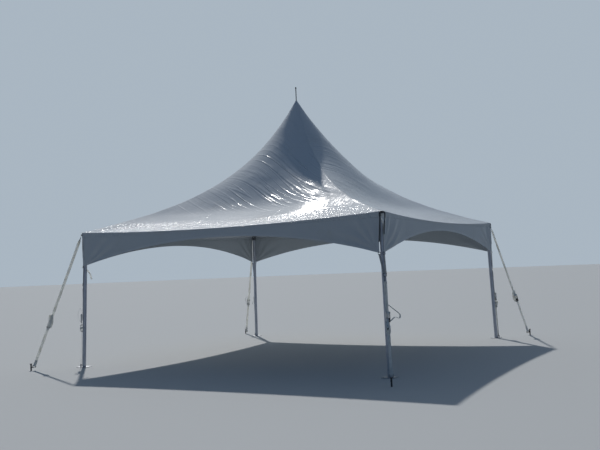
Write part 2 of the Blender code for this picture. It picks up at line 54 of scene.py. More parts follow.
OUT, ASIDE, UP = Vector((1, 0, 0)), Vector((0, 1, 0)), Vector((0, 0, 1))
STRAP_SMOOTH, SHEET_SMOOTH, FITTING_SMOOTH = 50, 60, 35


class Turned(Enum):
    """A side or a corner of the tent, by the degrees from the +X axis to it."""

    @property
    def turn(self) -> Matrix:
        """The turn about Z that takes the +X axis to it."""
        return Matrix.Rotation(math.radians(self.value), 4, "Z")

    @property
    def word(self) -> str:
        """Its name in node names."""
        return self.name.lower()


class Side(Turned):
    """The tent's four sides."""

    RIGHT = 0
    BACK = 90
    LEFT = 180
    FRONT = 270


class Corner(Turned):
    """The tent's four corners."""

    BACK_RIGHT = 45
    BACK_LEFT = 135
    FRONT_LEFT = 225
    FRONT_RIGHT = 315


@dataclass(frozen=True)
class GuyLine:
    """One guy: its swing from the diagonal, its stake's distance, its twist, its tail's reach."""

    swing: float
    reach: float
    twist: float
    loop: Spot


GUYS = {
    Corner.BACK_RIGHT: GuyLine(8, 0.95, 83, (-0.052, 0.006)),
    Corner.BACK_LEFT: GuyLine(6, 0.87, 0, (0.010, 0.055)),
    Corner.FRONT_LEFT: GuyLine(0, 0.95, 90, (-0.045, 0.008)),
    Corner.FRONT_RIGHT: GuyLine(-21, 0.91, 110, (-0.050, 0.010)),
}
GUY_LOOP = ((0.45, -0.03), (1.05, 0.03), (1.3, 0.10), (1.15, 0.165), (0.65, 0.18), (0.45, 0.13),
            (0.7, 0.06))
LEG_LOOPS = {
    Corner.BACK_RIGHT: ((0.040, 0.006, -0.05), (0.072, 0.012, -0.09), (0.055, 0.010, -0.15),
                        (0.016, 0.0, -0.12)),
    Corner.BACK_LEFT: ((0.014, 0.045, -0.02), (0.016, 0.078, -0.02), (0.014, 0.060, -0.06),
                       (0.010, 0.010, -0.06)),
    Corner.FRONT_LEFT: ((0.040, 0.004, -0.02), (0.072, 0.008, 0.05), (0.074, 0.008, 0.14),
                        (0.038, 0.004, 0.23), (0.016, 0.0, 0.16)),
    Corner.FRONT_RIGHT: ((0.020, 0.040, -0.02), (0.026, 0.110, 0.03), (0.028, 0.180, 0.01),
                         (0.028, 0.190, 0.07), (0.020, 0.100, 0.15), (0.016, 0.016, 0.22)),
}
GUY_RATCHET_HEIGHT, LEG_RATCHET_HEIGHT, BUNDLE_HEIGHT = 0.86, 0.93, 0.725
CORNER_PULLS = {Corner.FRONT_RIGHT: -0.033}
PULL_TOP, PULL_DEPTH = 2.42, 0.40


def clamped(share: float) -> float:
    """The share, kept from 0 to 1."""
    return min(max(share, 0.0), 1.0)


def smoothed(share: float) -> float:
    """The share, eased at both ends."""
    return share * share * (3 - 2 * share)


def pulled_aside(corner: Corner, height: float) -> float:
    """How far the valances' ends hang aside at a height, where their lower corners are pulled."""
    return CORNER_PULLS.get(corner, 0.0) * clamped((PULL_TOP - height) / PULL_DEPTH)


def linked(name: str, data: bpy.types.ID) -> bpy.types.Object:
    """Make an object in the scene.

    Args:
        name: Its name.
        data: Its mesh, light or camera.

    Returns:
        The object.
    """
    obj = bpy.data.objects.new(name, data)
    bpy.context.scene.collection.objects.link(obj)
    return obj


def math_method(operation: str, swapped: bool = False) -> Callable[..., "Value"]:
    """A method of Value that adds a Math node.

    Args:
        operation: What the node does.
        swapped: Whether the Value is the node's last number, as in 1 - value.

    Returns:
        The method.
    """

    def method(self: "Value", *others: "Value | float") -> "Value":
        """The node's result."""
        return self.graph.math(operation, *((*others, self) if swapped else (self, *others)))

    return method


class Value:
    """One number of a finish that varies over the surface, kept as the socket that carries it."""

    def __init__(self, graph: "Graph", socket: bpy.types.NodeSocket) -> None:
        """Keep the graph and the socket."""
        self.graph = graph
        self.socket = socket

    __add__ = __radd__ = math_method("ADD")
    __mul__ = __rmul__ = math_method("MULTIPLY")
    __sub__ = math_method("SUBTRACT")
    __rsub__ = math_method("SUBTRACT", swapped=True)
    __truediv__ = math_method("DIVIDE")
    __rtruediv__ = math_method("DIVIDE", swapped=True)
    __mod__ = math_method("FLOORED_MODULO")
    __rmod__ = math_method("FLOORED_MODULO", swapped=True)
    __abs__ = math_method("ABSOLUTE")
    sign = math_method("SIGN")
    sin = math_method("SINE")
    arctan = math_method("ARCTAN2")
    exp = math_method("EXPONENT")
    root = math_method("SQRT")
    most = math_method("MAXIMUM")
    over = math_method("GREATER_THAN")

    def ease(self, low: float, high: float) -> "Value":
        """A smooth step.

        Args:
            low: Where the step is 0.
            high: Where the step is 1; it may be less than low.

        Returns:
            The step, from 0 to 1.
        """
        sockets = {"Value": self, "From Min": low, "From Max": high}
        node = self.graph.add("ShaderNodeMapRange", sockets, interpolation_type="SMOOTHSTEP")
        return Value(self.graph, node.outputs["Result"])


class Nodes:
    """A node tree, and how it is added to."""

    def __init__(self, tree: bpy.types.NodeTree) -> None:
        """Keep the tree."""
        self.tree = tree

    def feed(self, socket: bpy.types.NodeSocket, value: Any) -> None:
        """Link a socket, or set it.

        Args:
            socket: The socket to feed.
            value: A Value, an output socket, a number, a vector or a colour.
        """
        if isinstance(value, Value):
            value = value.socket
        if isinstance(value, bpy.types.NodeSocket):
            self.tree.links.new(value, socket)
        elif isinstance(value, tuple) and socket.type == "RGBA":
            socket.default_value = (*value, 1.0)
        else:
            socket.default_value = value

    def add(self, kind: str, sockets: dict[Any, Any] | None = None,
            **settings: Any) -> bpy.types.Node:
        """Add a node.

        Args:
            kind: The node's type.
            sockets: What its sockets get, by name or number.
            **settings: Its own settings, set first; stops are a ramp's.

        Returns:
            The node.
        """
        node = self.tree.nodes.new(kind)
        for key, value in settings.items():
            if key == "stops":
                for stop, (position, colour) in zip(node.color_ramp.elements, value):
                    stop.position, stop.color = position, (*colour, 1.0)
            else:
                setattr(node, key, value)
        for key, value in (sockets or {}).items():
            self.feed(node.inputs[key], value)
        return node


class Graph(Nodes):
    """The nodes of one finish, round its Principled shader."""

    def __init__(self, name: str, constants: dict[str, Any] | None = None) -> None:
        """Make the material.

        Args:
            name: The material's name.
            constants: What is the same all over the surface, by the shader's socket.
        """
        self.material = bpy.data.materials.new(name)
        self.material.use_nodes = True
        super().__init__(self.material.node_tree)
        self.shader = self.tree.nodes["Principled BSDF"]
        for key, value in (constants or {}).items():
            self.feed(self.shader.inputs[key], value)

    def math(self, operation: str, *numbers: "Value | float") -> Value:
        """A Math node's result, from its operation and its numbers."""
        node = self.add("ShaderNodeMath", dict(enumerate(numbers)), operation=operation)
        return Value(self, node.outputs[0])

    def mix(self, share: "Value | float", first: Any, second: Any) -> bpy.types.NodeSocket:
        """A colour between two, by a share."""
        sockets = {0: share, 6: first, 7: second}
        return self.add("ShaderNodeMix", sockets, data_type="RGBA").outputs[2]

    def parts(self, vector: bpy.types.NodeSocket) -> list[Value]:
        """A vector's X, Y and Z."""
        node = self.add("ShaderNodeSeparateXYZ", {0: vector})
        return [Value(self, part) for part in node.outputs]

    def here(self) -> bpy.types.NodeSocket:
        """The surface point's place in the tent, in metres."""
        return self.add("ShaderNodeTexCoord").outputs["Object"]

    def flat_place(self) -> list[Value]:
        """The point's place along and across the cloth, in metres."""
        return self.parts(self.add("ShaderNodeUVMap", uv_map="UVMap").outputs[0])[:2]

    def pattern(self, kind: str, sockets: dict[str, Any], where: tuple[Any, ...] = ()) -> Value:
        """A texture.

        Args:
            kind: The texture node's type.
            sockets: What its sockets get, apart from its vector.
            where: The three numbers that it follows, or none for the place in the tent.

        Returns:
            Its first result.
        """
        vector = self.here()
        if where:
            vector = self.add("ShaderNodeCombineXYZ", dict(enumerate(where))).outputs[0]
        return Value(self, self.add(kind, {"Vector": vector, **sockets}).outputs[0])

    def noise(self, scale: float, detail: float, *where: "Value | float") -> Value:
        """Soft random variation round 0.5: its patches in a metre, its finer layers, its place."""
        return self.pattern("ShaderNodeTexNoise", {"Scale": scale, "Detail": detail}, where)

    def bump(self, height: Value, distance: float) -> None:
        """Raise the surface by a height, times a distance in metres."""
        node = self.add("ShaderNodeBump", {"Height": height, "Distance": distance, "Strength": 1.0})
        self.feed(self.shader.inputs["Normal"], node.outputs[0])

    def dress(self, **sockets: Any) -> bpy.types.Material:
        """Feed the shader's sockets that vary.

        Args:
            **sockets: Its colour, roughness and metallic share.

        Returns:
            The finished material.
        """
        names = {"colour": "Base Color", "roughness": "Roughness", "metallic": "Metallic"}
        for key, value in sockets.items():
            self.feed(self.shader.inputs[names[key]], value)
        return self.material


@dataclass(frozen=True)
class CoatedMembrane:
    """White coated membrane: welded seams, slanting fold marks, puckers, a slack swell, soil."""

    name: str = "coated_membrane"
    colour: Colour = (0.51, 0.55, 0.59)
    soil: Colour = (0.39, 0.41, 0.40)
    welded: Colour = (0.46, 0.50, 0.54)
    thread: Colour = (0.30, 0.31, 0.32)
    roughness: float = 0.15
    roof_from: float = 2.41
    eave_from: float = 2.25
    seam_pitch: float = 1.52
    seam_width: float = 0.035
    hip_width: float = 0.040
    slant: Spot = (0.886, 0.463)
    marks_at: Spot = (0.5, -1.7)
    marks_reach: float = 0.67
    swell_at: Spot = (1.2, -1.9)
    swell_reach: float = 0.70
    swell_height: float = 0.14
    relief: float = 0.006
    stitched: bool = False
    hem_middle: float = 0.018
    row_offset: float = 0.012
    stitch: float = 0.008

    def creases(self, graph: Graph, run: Value, out: Value) -> Value:
        """Where the sheet was folded: thin ridges that slant across each side, broken in places.

        Args:
            graph: The finish's graph.
            run: The place along the side.
            out: The distance from the tent's axis, square on to the side.

        Returns:
            The ridges' height, about 0 to 1.
        """
        along = run * self.slant[0] + out * self.slant[1]
        across = run * self.slant[1] - out * self.slant[0]
        bold = graph.noise(1.0, 1.0, across * 5.0, along * 0.20, 0.0)
        faint = graph.noise(1.0, 2.0, across * 9.0, along * 0.5, 4.0)
        broken = graph.noise(1.0, 2.0, across * 3.0, along * 0.8, 9.0).ease(0.42, 0.54)
        return abs(bold - 0.5).ease(0.05, 0.0) * broken + abs(faint - 0.5).ease(0.05, 0.0) * 0.3

    def mound(self, x: Value, y: Value, at: Spot, reach: float) -> Value:
        """1 at a spot of the plan, fading smoothly round it over a reach."""
        aside, ahead = x - at[0], y - at[1]
        return ((aside * aside + ahead * ahead) / (-2 * reach ** 2)).exp()

    def stitches(self, graph: Graph) -> Value:
        """Two rows of stitches along a hem.

        Args:
            graph: The finish's graph.

        Returns:
            1 on the thread, else 0.
        """
        along, down = graph.flat_place()
        rows = abs(abs(down - self.hem_middle) - self.row_offset).ease(0.0016, 0.0008)
        return rows * abs((along % self.stitch) - self.stitch / 2).ease(0.0032, 0.0024)

    def material(self) -> bpy.types.Material:
        """Make the finish.

        Returns:
            Its material.
        """
        graph = Graph(self.name, {"IOR": 1.45, "Specular IOR Level": 0.02, "Coat Weight": 1.0,
                                  "Coat Roughness": 0.70, "Coat IOR": 1.28})
        x, y, z = graph.parts(graph.here())
        facing = abs(x).over(abs(y))
        out = abs(x).most(abs(y))
        run = facing * y * x.sign() - (1 - facing) * x * y.sign()
        roof = z.over(self.roof_from).most(out.over(3.0) * -1 + 1)
        from_seam = abs((abs(run) % self.seam_pitch) - self.seam_pitch / 2)
        seam = from_seam.ease(self.seam_width / 2 + 0.003, self.seam_width / 2 - 0.001)
        hip = abs(abs(x) - abs(y)).ease(self.hip_width, self.hip_width - 0.006)
        lap = seam.most(hip) * z.over(2.3)
        patches, specks = graph.noise(1.3, 4.0), graph.noise(9.0, 3.0)
        soiled = (patches * 0.7 + specks * 0.3).ease(0.52, 0.80) * 0.5
        eave = out.ease(self.eave_from, self.eave_from + 0.7) * roof
        pucker = graph.noise(1.0, 3.0, run * 13.0, out * 8.0, z * 8.0)
        ripple = graph.noise(1.0, 3.0, run * 5.0, out * 5.0, z * 2.0)
        grain = graph.noise(1.0, 2.0, run * 27.0, out * 14.0, z * 12.0)
        marked = (0.4 + self.mound(x, y, self.marks_at, self.marks_reach) * 1.6) * roof
        height = self.creases(graph, run, out) * marked * out.ease(2.3, 1.7)
        height = height + pucker * (0.22 + eave * 1.7) + ripple * 0.6
        height = height + grain * (0.22 + eave * 3.4) + lap * 0.18
        swell = self.mound(x, y, self.swell_at, self.swell_reach) * roof
        height = height + swell * (self.swell_height / self.relief)
        colour = graph.mix(soiled, self.colour, self.soil)
        colour = graph.mix(lap * 0.22, colour, self.welded)
        if self.stitched:
            thread = self.stitches(graph)
            height = height - thread * 0.12
            colour = graph.mix(thread * 0.5, colour, self.thread)
        graph.bump(height, self.relief)
        rough = self.roughness + (specks - 0.5) * 0.06 + soiled * 0.08
        return graph.dress(colour=colour, roughness=rough)


@dataclass(frozen=True)
class SatinTube:
    """Drawn aluminium tube, with long draw marks, smudges and scuffs near the ground."""

    colour: Colour = (0.47, 0.50, 0.56)
    smudged: Colour = (0.36, 0.38, 0.43)
    scuffed: Colour = (0.20, 0.19, 0.17)
    roughness: float = 0.38
    relief: float = 0.0004

    def material(self) -> bpy.types.Material:
        """Make the finish.

        Returns:
            Its material.
        """
        graph = Graph("satin_tube")
        x, y, z = graph.parts(graph.here())
        drawn = graph.noise(420.0, 2.0, x, y, z * 0.02)
        smudge = graph.noise(7.0, 4.0)
        scuff = graph.noise(60.0, 3.0, x, y, z * 0.4).ease(0.60, 0.72) * z.ease(0.9, 0.1)
        graph.bump(drawn * 0.5 + scuff * 0.6, self.relief)
        colour = graph.mix(smudge.ease(0.35, 0.75) * 0.5, self.colour, self.smudged)
        colour = graph.mix(scuff * 0.6, colour, self.scuffed)
        rough = self.roughness + (smudge - 0.5) * 0.3 + (drawn - 0.5) * 0.2
        return graph.dress(colour=colour, roughness=rough, metallic=0.75)


@dataclass(frozen=True)
class GalvanisedSteel:
    """Dipped zinc over steel, with its crystals, cloudy tone and rust near the ground."""

    name: str = "galvanised_steel"
    colour: Colour = (0.33, 0.34, 0.36)
    rusty: Colour = (0.22, 0.10, 0.05)
    crystal_gain: float = 1.47
    roughness: float = 0.48
    relief: float = 0.0006

    def material(self) -> bpy.types.Material:
        """Make the finish.

        Returns:
            Its material.
        """
        graph = Graph(self.name)
        z = graph.parts(graph.here())[2]
        crystal = graph.pattern("ShaderNodeTexVoronoi", {"Scale": 120.0})
        cloud = graph.noise(22.0, 4.0)
        rust = cloud.ease(0.56, 0.74) * z.ease(0.5, 0.0)
        graph.bump(crystal * 0.3 + cloud, self.relief)
        bright = tuple(part * self.crystal_gain for part in self.colour)
        colour = graph.mix(crystal.ease(0.0, 0.9) * 0.5, self.colour, bright)
        colour = graph.mix(rust * 0.7, colour, self.rusty)
        rough = self.roughness + (cloud - 0.5) * 0.3 + rust * 0.3
        return graph.dress(colour=colour, roughness=rough, metallic=0.85 - rust * 0.7)


@dataclass(frozen=True)
class ZincPlate:
    """Bright zinc plate on pressed steel, dulled by handling."""

    colour: Colour = (0.66, 0.66, 0.64)
    dulled: Colour = (0.40, 0.39, 0.37)
    roughness: float = 0.32
    relief: float = 0.0003

    def material(self) -> bpy.types.Material:
        """Make the finish.

        Returns:
            Its material.
        """
        graph = Graph("zinc_plate")
        cloud = graph.noise(45.0, 3.0)
        scratch = graph.noise(500.0, 2.0).ease(0.62, 0.70)
        graph.bump(cloud * 0.4 + scratch * 0.3, self.relief)
        colour = graph.mix(cloud.ease(0.4, 0.7) * 0.6, self.colour, self.dulled)
        rough = self.roughness + (cloud - 0.5) * 0.35 + scratch * 0.15
        return graph.dress(colour=colour, roughness=rough, metallic=0.6)


@dataclass(frozen=True)
class DarkPaint:
    """Dark paint on steel, chipped to bare metal and dusty low down."""

    colour: Colour = (0.028, 0.030, 0.034)
    dusty: Colour = (0.16, 0.14, 0.11)
    bare: Colour = (0.30, 0.30, 0.31)
    roughness: float = 0.50
    relief: float = 0.0004

    def material(self) -> bpy.types.Material:
        """Make the finish.

        Returns:
            Its material.
        """
        graph = Graph("dark_paint")
        z = graph.parts(graph.here())[2]
        chips = graph.noise(95.0, 4.0).ease(0.64, 0.70)
        dust = graph.noise(14.0, 3.0).ease(0.35, 0.75) * z.ease(0.35, 0.0)
        graph.bump(graph.noise(160.0, 2.0) * 0.6 - chips, self.relief)
        colour = graph.mix(dust * 0.5, self.colour, self.dusty)
        colour = graph.mix(chips * 0.6, colour, self.bare)
        rough = self.roughness + dust * 0.3
        return graph.dress(colour=colour, roughness=rough, metallic=chips * 0.8)


@dataclass(frozen=True)
class Webbing:
    """Woven polyester strap that lets light through: ribs, a tighter edge, soil, and painted shade
    in the weave's hollows.
    """

    name: str = "webbing"
    colour: Colour = (0.78, 0.78, 0.74)
    soiled: Colour = (0.46, 0.44, 0.38)
    # The colour of the painted shade in the weave's hollows.
    shade: Colour = (0.36, 0.35, 0.31)
    rib: float = 0.0022
    width: float = 0.050
    through: float = 0.006
    relief: float = 0.0005

    def material(self) -> bpy.types.Material:
        """Make the finish.

        Returns:
            Its material.
        """
        graph = Graph(self.name, {
            "Roughness": 0.85, "Sheen Weight": 0.3, "Sheen Roughness": 0.4,
            "Subsurface Weight": 1.0, "Subsurface Radius": (1.0, 1.0, 1.0),
            "Subsurface Scale": self.through,
        })
        along, across = graph.flat_place()
        ribs = (along * (math.tau / self.rib)).sin()
        ends = (across * (math.tau / (self.rib * 1.4))).sin()
        edge = (abs(across) / (self.width / 2)).ease(0.80, 0.92)
        soil = graph.noise(11.0, 4.0).ease(0.40, 0.75)
        graph.bump(ribs * ends * 0.5 + ribs * 0.3 - edge * 0.3, self.relief)
        colour = graph.mix(soil * 0.45, self.colour, self.soiled)
        # Painted shade: the weave's hollows are mixed towards the shade colour.
        colour = graph.mix((ribs * ends).ease(0.2, -0.9) * 0.35, colour, self.shade)
        return graph.dress(colour=colour)


@dataclass(frozen=True)
class WireRope:
    """Galvanised wire rope: six strands laid round each other, with painted shade in the grooves
    between them.
    """

    groove_shade: Colour = (0.07, 0.07, 0.07)
    crown: Colour = (0.42, 0.43, 0.44)
    grimy: Colour = (0.16, 0.14, 0.12)
    strands: int = 6
    lay: float = 0.065
    relief: float = 0.0012

    def material(self) -> bpy.types.Material:
        """Make the finish.

        Returns:
            Its material.
        """
        graph = Graph("wire_rope", {"Roughness": 0.42, "Metallic": 0.85})
        x, y, z = graph.parts(graph.here())
        out = (x * x + y * y).root()
        foot, head = CornerPlace().cable_ends()
        middle = foot.z + (out - foot.x) * ((head.z - foot.z) / (head.x - foot.x))
        angle = ((abs(x) - abs(y)) * 0.7071).arctan(z - middle)
        wave = abs((angle * (self.strands / 2) + out * (math.tau / self.lay)).sin())
        graph.bump(wave, self.relief)
        grime = graph.noise(30.0, 3.0).ease(0.4, 0.7)
        # Darker between the strands: painted shade in the grooves.
        colour = graph.mix(wave.ease(0.0, 0.5), self.groove_shade, self.crown)
        return graph.dress(colour=graph.mix(grime * 0.4, colour, self.grimy))


@dataclass(frozen=True)
class PlainPlastic:
    """Moulded black plastic of the grips."""

    colour: Colour = (0.02, 0.02, 0.022)
    worn: Colour = (0.08, 0.08, 0.08)
    relief: float = 0.0002

    def material(self) -> bpy.types.Material:
        """Make the finish.

        Returns:
            Its material.
        """
        graph = Graph("grip_plastic")
        wear = graph.noise(60.0, 3.0)
        graph.bump(graph.noise(900.0, 1.0), self.relief)
        colour = graph.mix(wear.ease(0.45, 0.8) * 0.5, self.colour, self.worn)
        return graph.dress(colour=colour, roughness=0.45 + wear * 0.2)


@dataclass(frozen=True)
class TentShape:
    """The swept surface of the roof, in the frame of the side that faces +X."""

    half: float = 3.07
    eave_corner: float = 2.506
    eave_sag: float = 0.081
    eave_bow: float = 0.06
    peak: float = 5.135
    end_slope: float = 0.2788
    curve: float = 2.43
    hollow: float = 0.05
    round_share: float = 0.7
    rod_hole: float = 0.0096
    arch_top: float = 2.27
    valance_corner: float = 1.87
    slit: float = 0.055

    @property
    def reach(self) -> float:
        """Share of half a side that a valance takes."""
        return (self.half - self.slit) / self.half

    def hip_height(self, share: float) -> float:
        """Height of a hip at this share of the way from the axis to the corner."""
        fall = self.end_slope + (1 - self.end_slope) * math.exp(-self.curve * share)
        return self.eave_corner + (self.peak - self.eave_corner) * (1 - share) * fall

    def roof_point(self, share: float, across: float) -> Vector:
        """A point of the roof.

        Args:
            share: From 0 at the peak to 1 at the eave.
            across: From -1 at one hip to 1 at the other.

        Returns:
            The point, on the side that faces +X.
        """
        out = share * self.half
        squareness = smoothed(min(share / self.round_share, 1.0))
        angle = across * math.pi / 4
        arc = Vector((math.cos(angle), math.sin(angle), 0)) * out * math.sqrt(2)
        belly = 1 - across * across
        side = Vector((out - self.eave_bow * share * belly, out * across, 0))
        point = arc.lerp(side, squareness)
        fall = self.eave_sag * share + self.hollow * math.sin(math.pi * share)
        point.z = self.hip_height(share) - squareness * fall * belly
        return point

    def valance_point(self, across: float, down: float) -> Vector:
        """A point of a valance.

        Args:
            across: From -reach to reach along the side.
            down: From 0 at the eave to 1 at the arched edge.

        Returns:
            The point, on the side that faces +X.
        """
        belly = 1 - across * across
        top = self.eave_corner - self.eave_sag * belly
        low = self.arch_top - (self.arch_top - self.valance_corner) * (across / self.reach) ** 2
        x = self.half - self.eave_bow * belly
        return Vector((x, across * self.half, top + (low - top) * down))


SHAPE = TentShape()


@dataclass(frozen=True)
class CornerPlace:
    """Where the solids of one corner are, in its diagonal's plane: X out from the axis, Z up."""

    corner: Corner = Corner.BACK_RIGHT
    eye: float = 0.0093
    half_gauge: float = 0.0015
    cheek: float = 0.012
    bar_drop: float = 0.045
    arm_height: float = 0.06
    arm_length: float = 0.05
    clevis: float = 0.024
    cable_end: float = 0.011

    def extent(self, prefix: str) -> tuple[Vector, Vector]:
        """Lowest and highest corner of a solid.

        Args:
            prefix: The node's name without its corner.

        Returns:
            The two corners, in the corner's own frame.
        """
        back = self.corner.turn.inverted()
        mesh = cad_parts[f"{prefix}_{self.corner.word}"].data
        rows = list(zip(*[back @ v.co for v in mesh.vertices]))
        return Vector(map(min, rows)), Vector(map(max, rows))

    def guy_ends(self) -> tuple[Vector, Vector]:
        """Where the guy strap's two bars are.

        Returns:
            Their middles, on the leg's cap and in the stake's clevis.
        """
        guy = GUYS[self.corner]
        _, cap = self.extent("leg_cap")
        top = Vector((cap.x - self.cheek, 0, cap.z - self.bar_drop))
        out = Matrix.Rotation(math.radians(guy.swing), 3, "Z") @ OUT
        back = Vector((top.x, 0, self.arm_height)) + out * (guy.reach - self.arm_length)
        return top, back - (back - top).normalized() * self.clevis

    def leg_strap_ends(self) -> tuple[Vector, Vector]:
        """Where the leg strap starts and ends.

        Returns:
            The middle of the yoke's top, and the axis of the foot plate's bar.
        """
        low, high = self.extent("leg_strap")
        top = Vector((low.x + self.half_gauge, 0, high.z))
        return top, Vector((high.x - self.eye, 0, low.z + self.eye))

    def cable_ends(self) -> tuple[Vector, Vector]:
        """Where the cross cable starts and ends.

        Returns:
            Its ends at the mast's foot and at the leg's cap.
        """
        low, high = self.extent("cross_cable")
        return (Vector((low.x, 0, low.z + self.cable_end)),
                Vector((high.x, 0, high.z - self.cable_end)))


class MeshMaker:
    """Collects surfaces and solids in one mesh."""

    def __init__(self) -> None:
        """Start with an empty mesh."""
        self.bm = bmesh.new()
        self.flat = self.bm.loops.layers.uv.new("UVMap")

    def grid(self, rows: int, columns: int, place: Callable[[int, int], Vector], ring: bool = False,
             flat: Callable[[int, int], Spot] | None = None) -> list[list[bmesh.types.BMVert]]:
        """A grid of four-sided faces.

        Args:
            rows: How many rows of points.
            columns: How many points in a row.
            place: Where each point is.
            ring: Whether each row closes on itself.
            flat: Where each point is on the flat cloth.

        Returns:
            The rows of points.
        """
        points = [[self.bm.verts.new(place(i, j)) for j in range(columns)] for i in range(rows)]
        for i in range(rows - 1):
            for j in range(columns if ring else columns - 1):
                k = (j + 1) % columns
                face = self.bm.faces.new(
                    (points[i][j], points[i + 1][j], points[i + 1][k], points[i][k]))
                face.smooth = True
                if flat:
                    corners = ((i, j), (i + 1, j), (i + 1, j + 1), (i, j + 1))
                    for loop, corner in zip(face.loops, corners):
                        loop[self.flat].uv = flat(*corner)
        return points

    def sweep(self, path: Path, outline: Sequence[Spot], wide: Vector | Path) -> None:
        """A solid with this outline along a path, its ends closed.

        Args:
            path: The points that it follows.
            outline: Its cross-section, as offsets along wide and along the path's normal.
            wide: The direction of the cross-section's width, or one for each point.
        """
        frames, run = [], [0.0]
        wides = [wide] * len(path) if isinstance(wide, Vector) else wide
        for i, point in enumerate(path):
            along = (path[min(i + 1, len(path) - 1)] - path[max(i - 1, 0)]).normalized()
            across = (wides[i] - along * wides[i].dot(along)).normalized()
            frames.append((point, across, across.cross(along)))
            if i:
                run.append(run[-1] + (point - path[i - 1]).length)

        def place(i: int, j: int) -> Vector:
            """A point of the swept surface."""
            centre, across, normal = frames[i]
            return centre + across * outline[j][0] + normal * outline[j][1]

        def flat(i: int, j: int) -> Spot:
            """Its place along and across the strap."""
            return run[i], outline[j % len(outline)][0]

        rows = self.grid(len(path), len(outline), place, True, flat)
        self.bm.faces.new(rows[0][::-1])
        self.bm.faces.new(rows[-1])

    def strap(self, path: Path, width: float, gauge: float, wide: Vector | Path) -> None:
        """Flat webbing with soft edges along a path.

        Args:
            path: The points that it follows.
            width: Its width.
            gauge: Its thickness.
            wide: The direction of its width, or one for each point.
        """
        a, b = width / 2, gauge / 2
        outline = [(-a + b, -b), (0, -b), (a - b, -b), (a, 0),
                   (a - b, b), (0, b), (-a + b, b), (-a, 0)]
        self.sweep(path, outline, wide)

    def tube(self, path: Path, radius: float, sides: int, wide: Vector) -> None:
        """A round bar along a path."""
        turns = [math.tau * i / sides for i in range(sides)]
        self.sweep(path, [(radius * math.cos(t), radius * math.sin(t)) for t in turns], wide)

    def ring(self, corners: list[Vector], radius: float, wide: Vector) -> None:
        """A closed loop of round bars through its corners."""
        for pair in zip(corners, corners[1:] + corners[:1]):
            self.tube(pair, radius, 10, wide)

    def turned(self, profile: Sequence[Spot], place: Matrix, steps: int) -> None:
        """A turned shape.

        Args:
            profile: Its outline of (radius, height), closed or from axis to axis.
            place: Where it goes.
            steps: How many steps its turn about Z has.
        """
        verts = [self.bm.verts.new(place @ Vector((r, 0, h))) for r, h in profile]
        edges = [self.bm.edges.new(pair) for pair in zip(verts, verts[1:])]
        if profile[0][0]:
            edges.append(self.bm.edges.new((verts[-1], verts[0])))
        bmesh.ops.spin(self.bm, geom=verts + edges, cent=place.translation,
                       axis=place.to_3x3() @ UP, angle=math.tau, steps=steps, use_merge=True)

    def plate(self, outline: Sequence[Spot], gauge: float, place: Matrix, bevel: float) -> None:
        """A flat plate.

        Args:
            outline: Its outline in X-Y.
            gauge: Its thickness along Z, half on each side.
            place: Where it goes.
            bevel: How far its edges are broken.
        """
        verts = [self.bm.verts.new((x, y, -gauge / 2)) for x, y in outline]
        face = self.bm.faces.new(verts)
        raised = bmesh.ops.extrude_face_region(self.bm, geom=[face], use_keep_orig=True)["geom"]
        tops = [item for item in raised if isinstance(item, bmesh.types.BMVert)]
        bmesh.ops.translate(self.bm, verts=tops, vec=(0, 0, gauge))
        every = verts + tops
        rims = {e for v in every for e in v.link_edges
                if abs(e.verts[0].co.z - e.verts[1].co.z) < 1e-9}
        made = bmesh.ops.bevel(self.bm, geom=list(rims), offset=bevel, segments=1, affect="EDGES")
        every = list({*made["verts"], *[v for v in every if v.is_valid]})
        bmesh.ops.transform(self.bm, matrix=place, verts=every)

    def piece(self, name: str, material: bpy.types.Material, slot: str,
              turn: Matrix = Matrix.Identity(4), smooth: float = 40) -> bpy.types.Object:
        """Finish the mesh as a piece of the tent.

        Args:
            name: The piece's name.
            material: Its finish.
            slot: The record's material slot that it belongs to; not used.
            turn: The turn into its side or corner.
            smooth: Edges flatter than this many degrees look smooth.

        Returns:
            The piece, riding on the tent's one body.
        """
        if all(e.is_manifold for e in self.bm.edges):
            bmesh.ops.recalc_face_normals(self.bm, faces=self.bm.faces[:])
        bmesh.ops.transform(self.bm, matrix=turn, verts=self.bm.verts[:])
        mesh = bpy.data.meshes.new(name)
        self.bm.to_mesh(mesh)
        self.bm.free()
        mesh.materials.append(material)
        mesh.shade_smooth()
        mesh.set_sharp_from_angle(angle=math.radians(smooth))
        obj = linked(name, mesh)
        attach(obj, "root")
        LOG.info("%s: %d faces", name, len(mesh.polygons))
        return obj


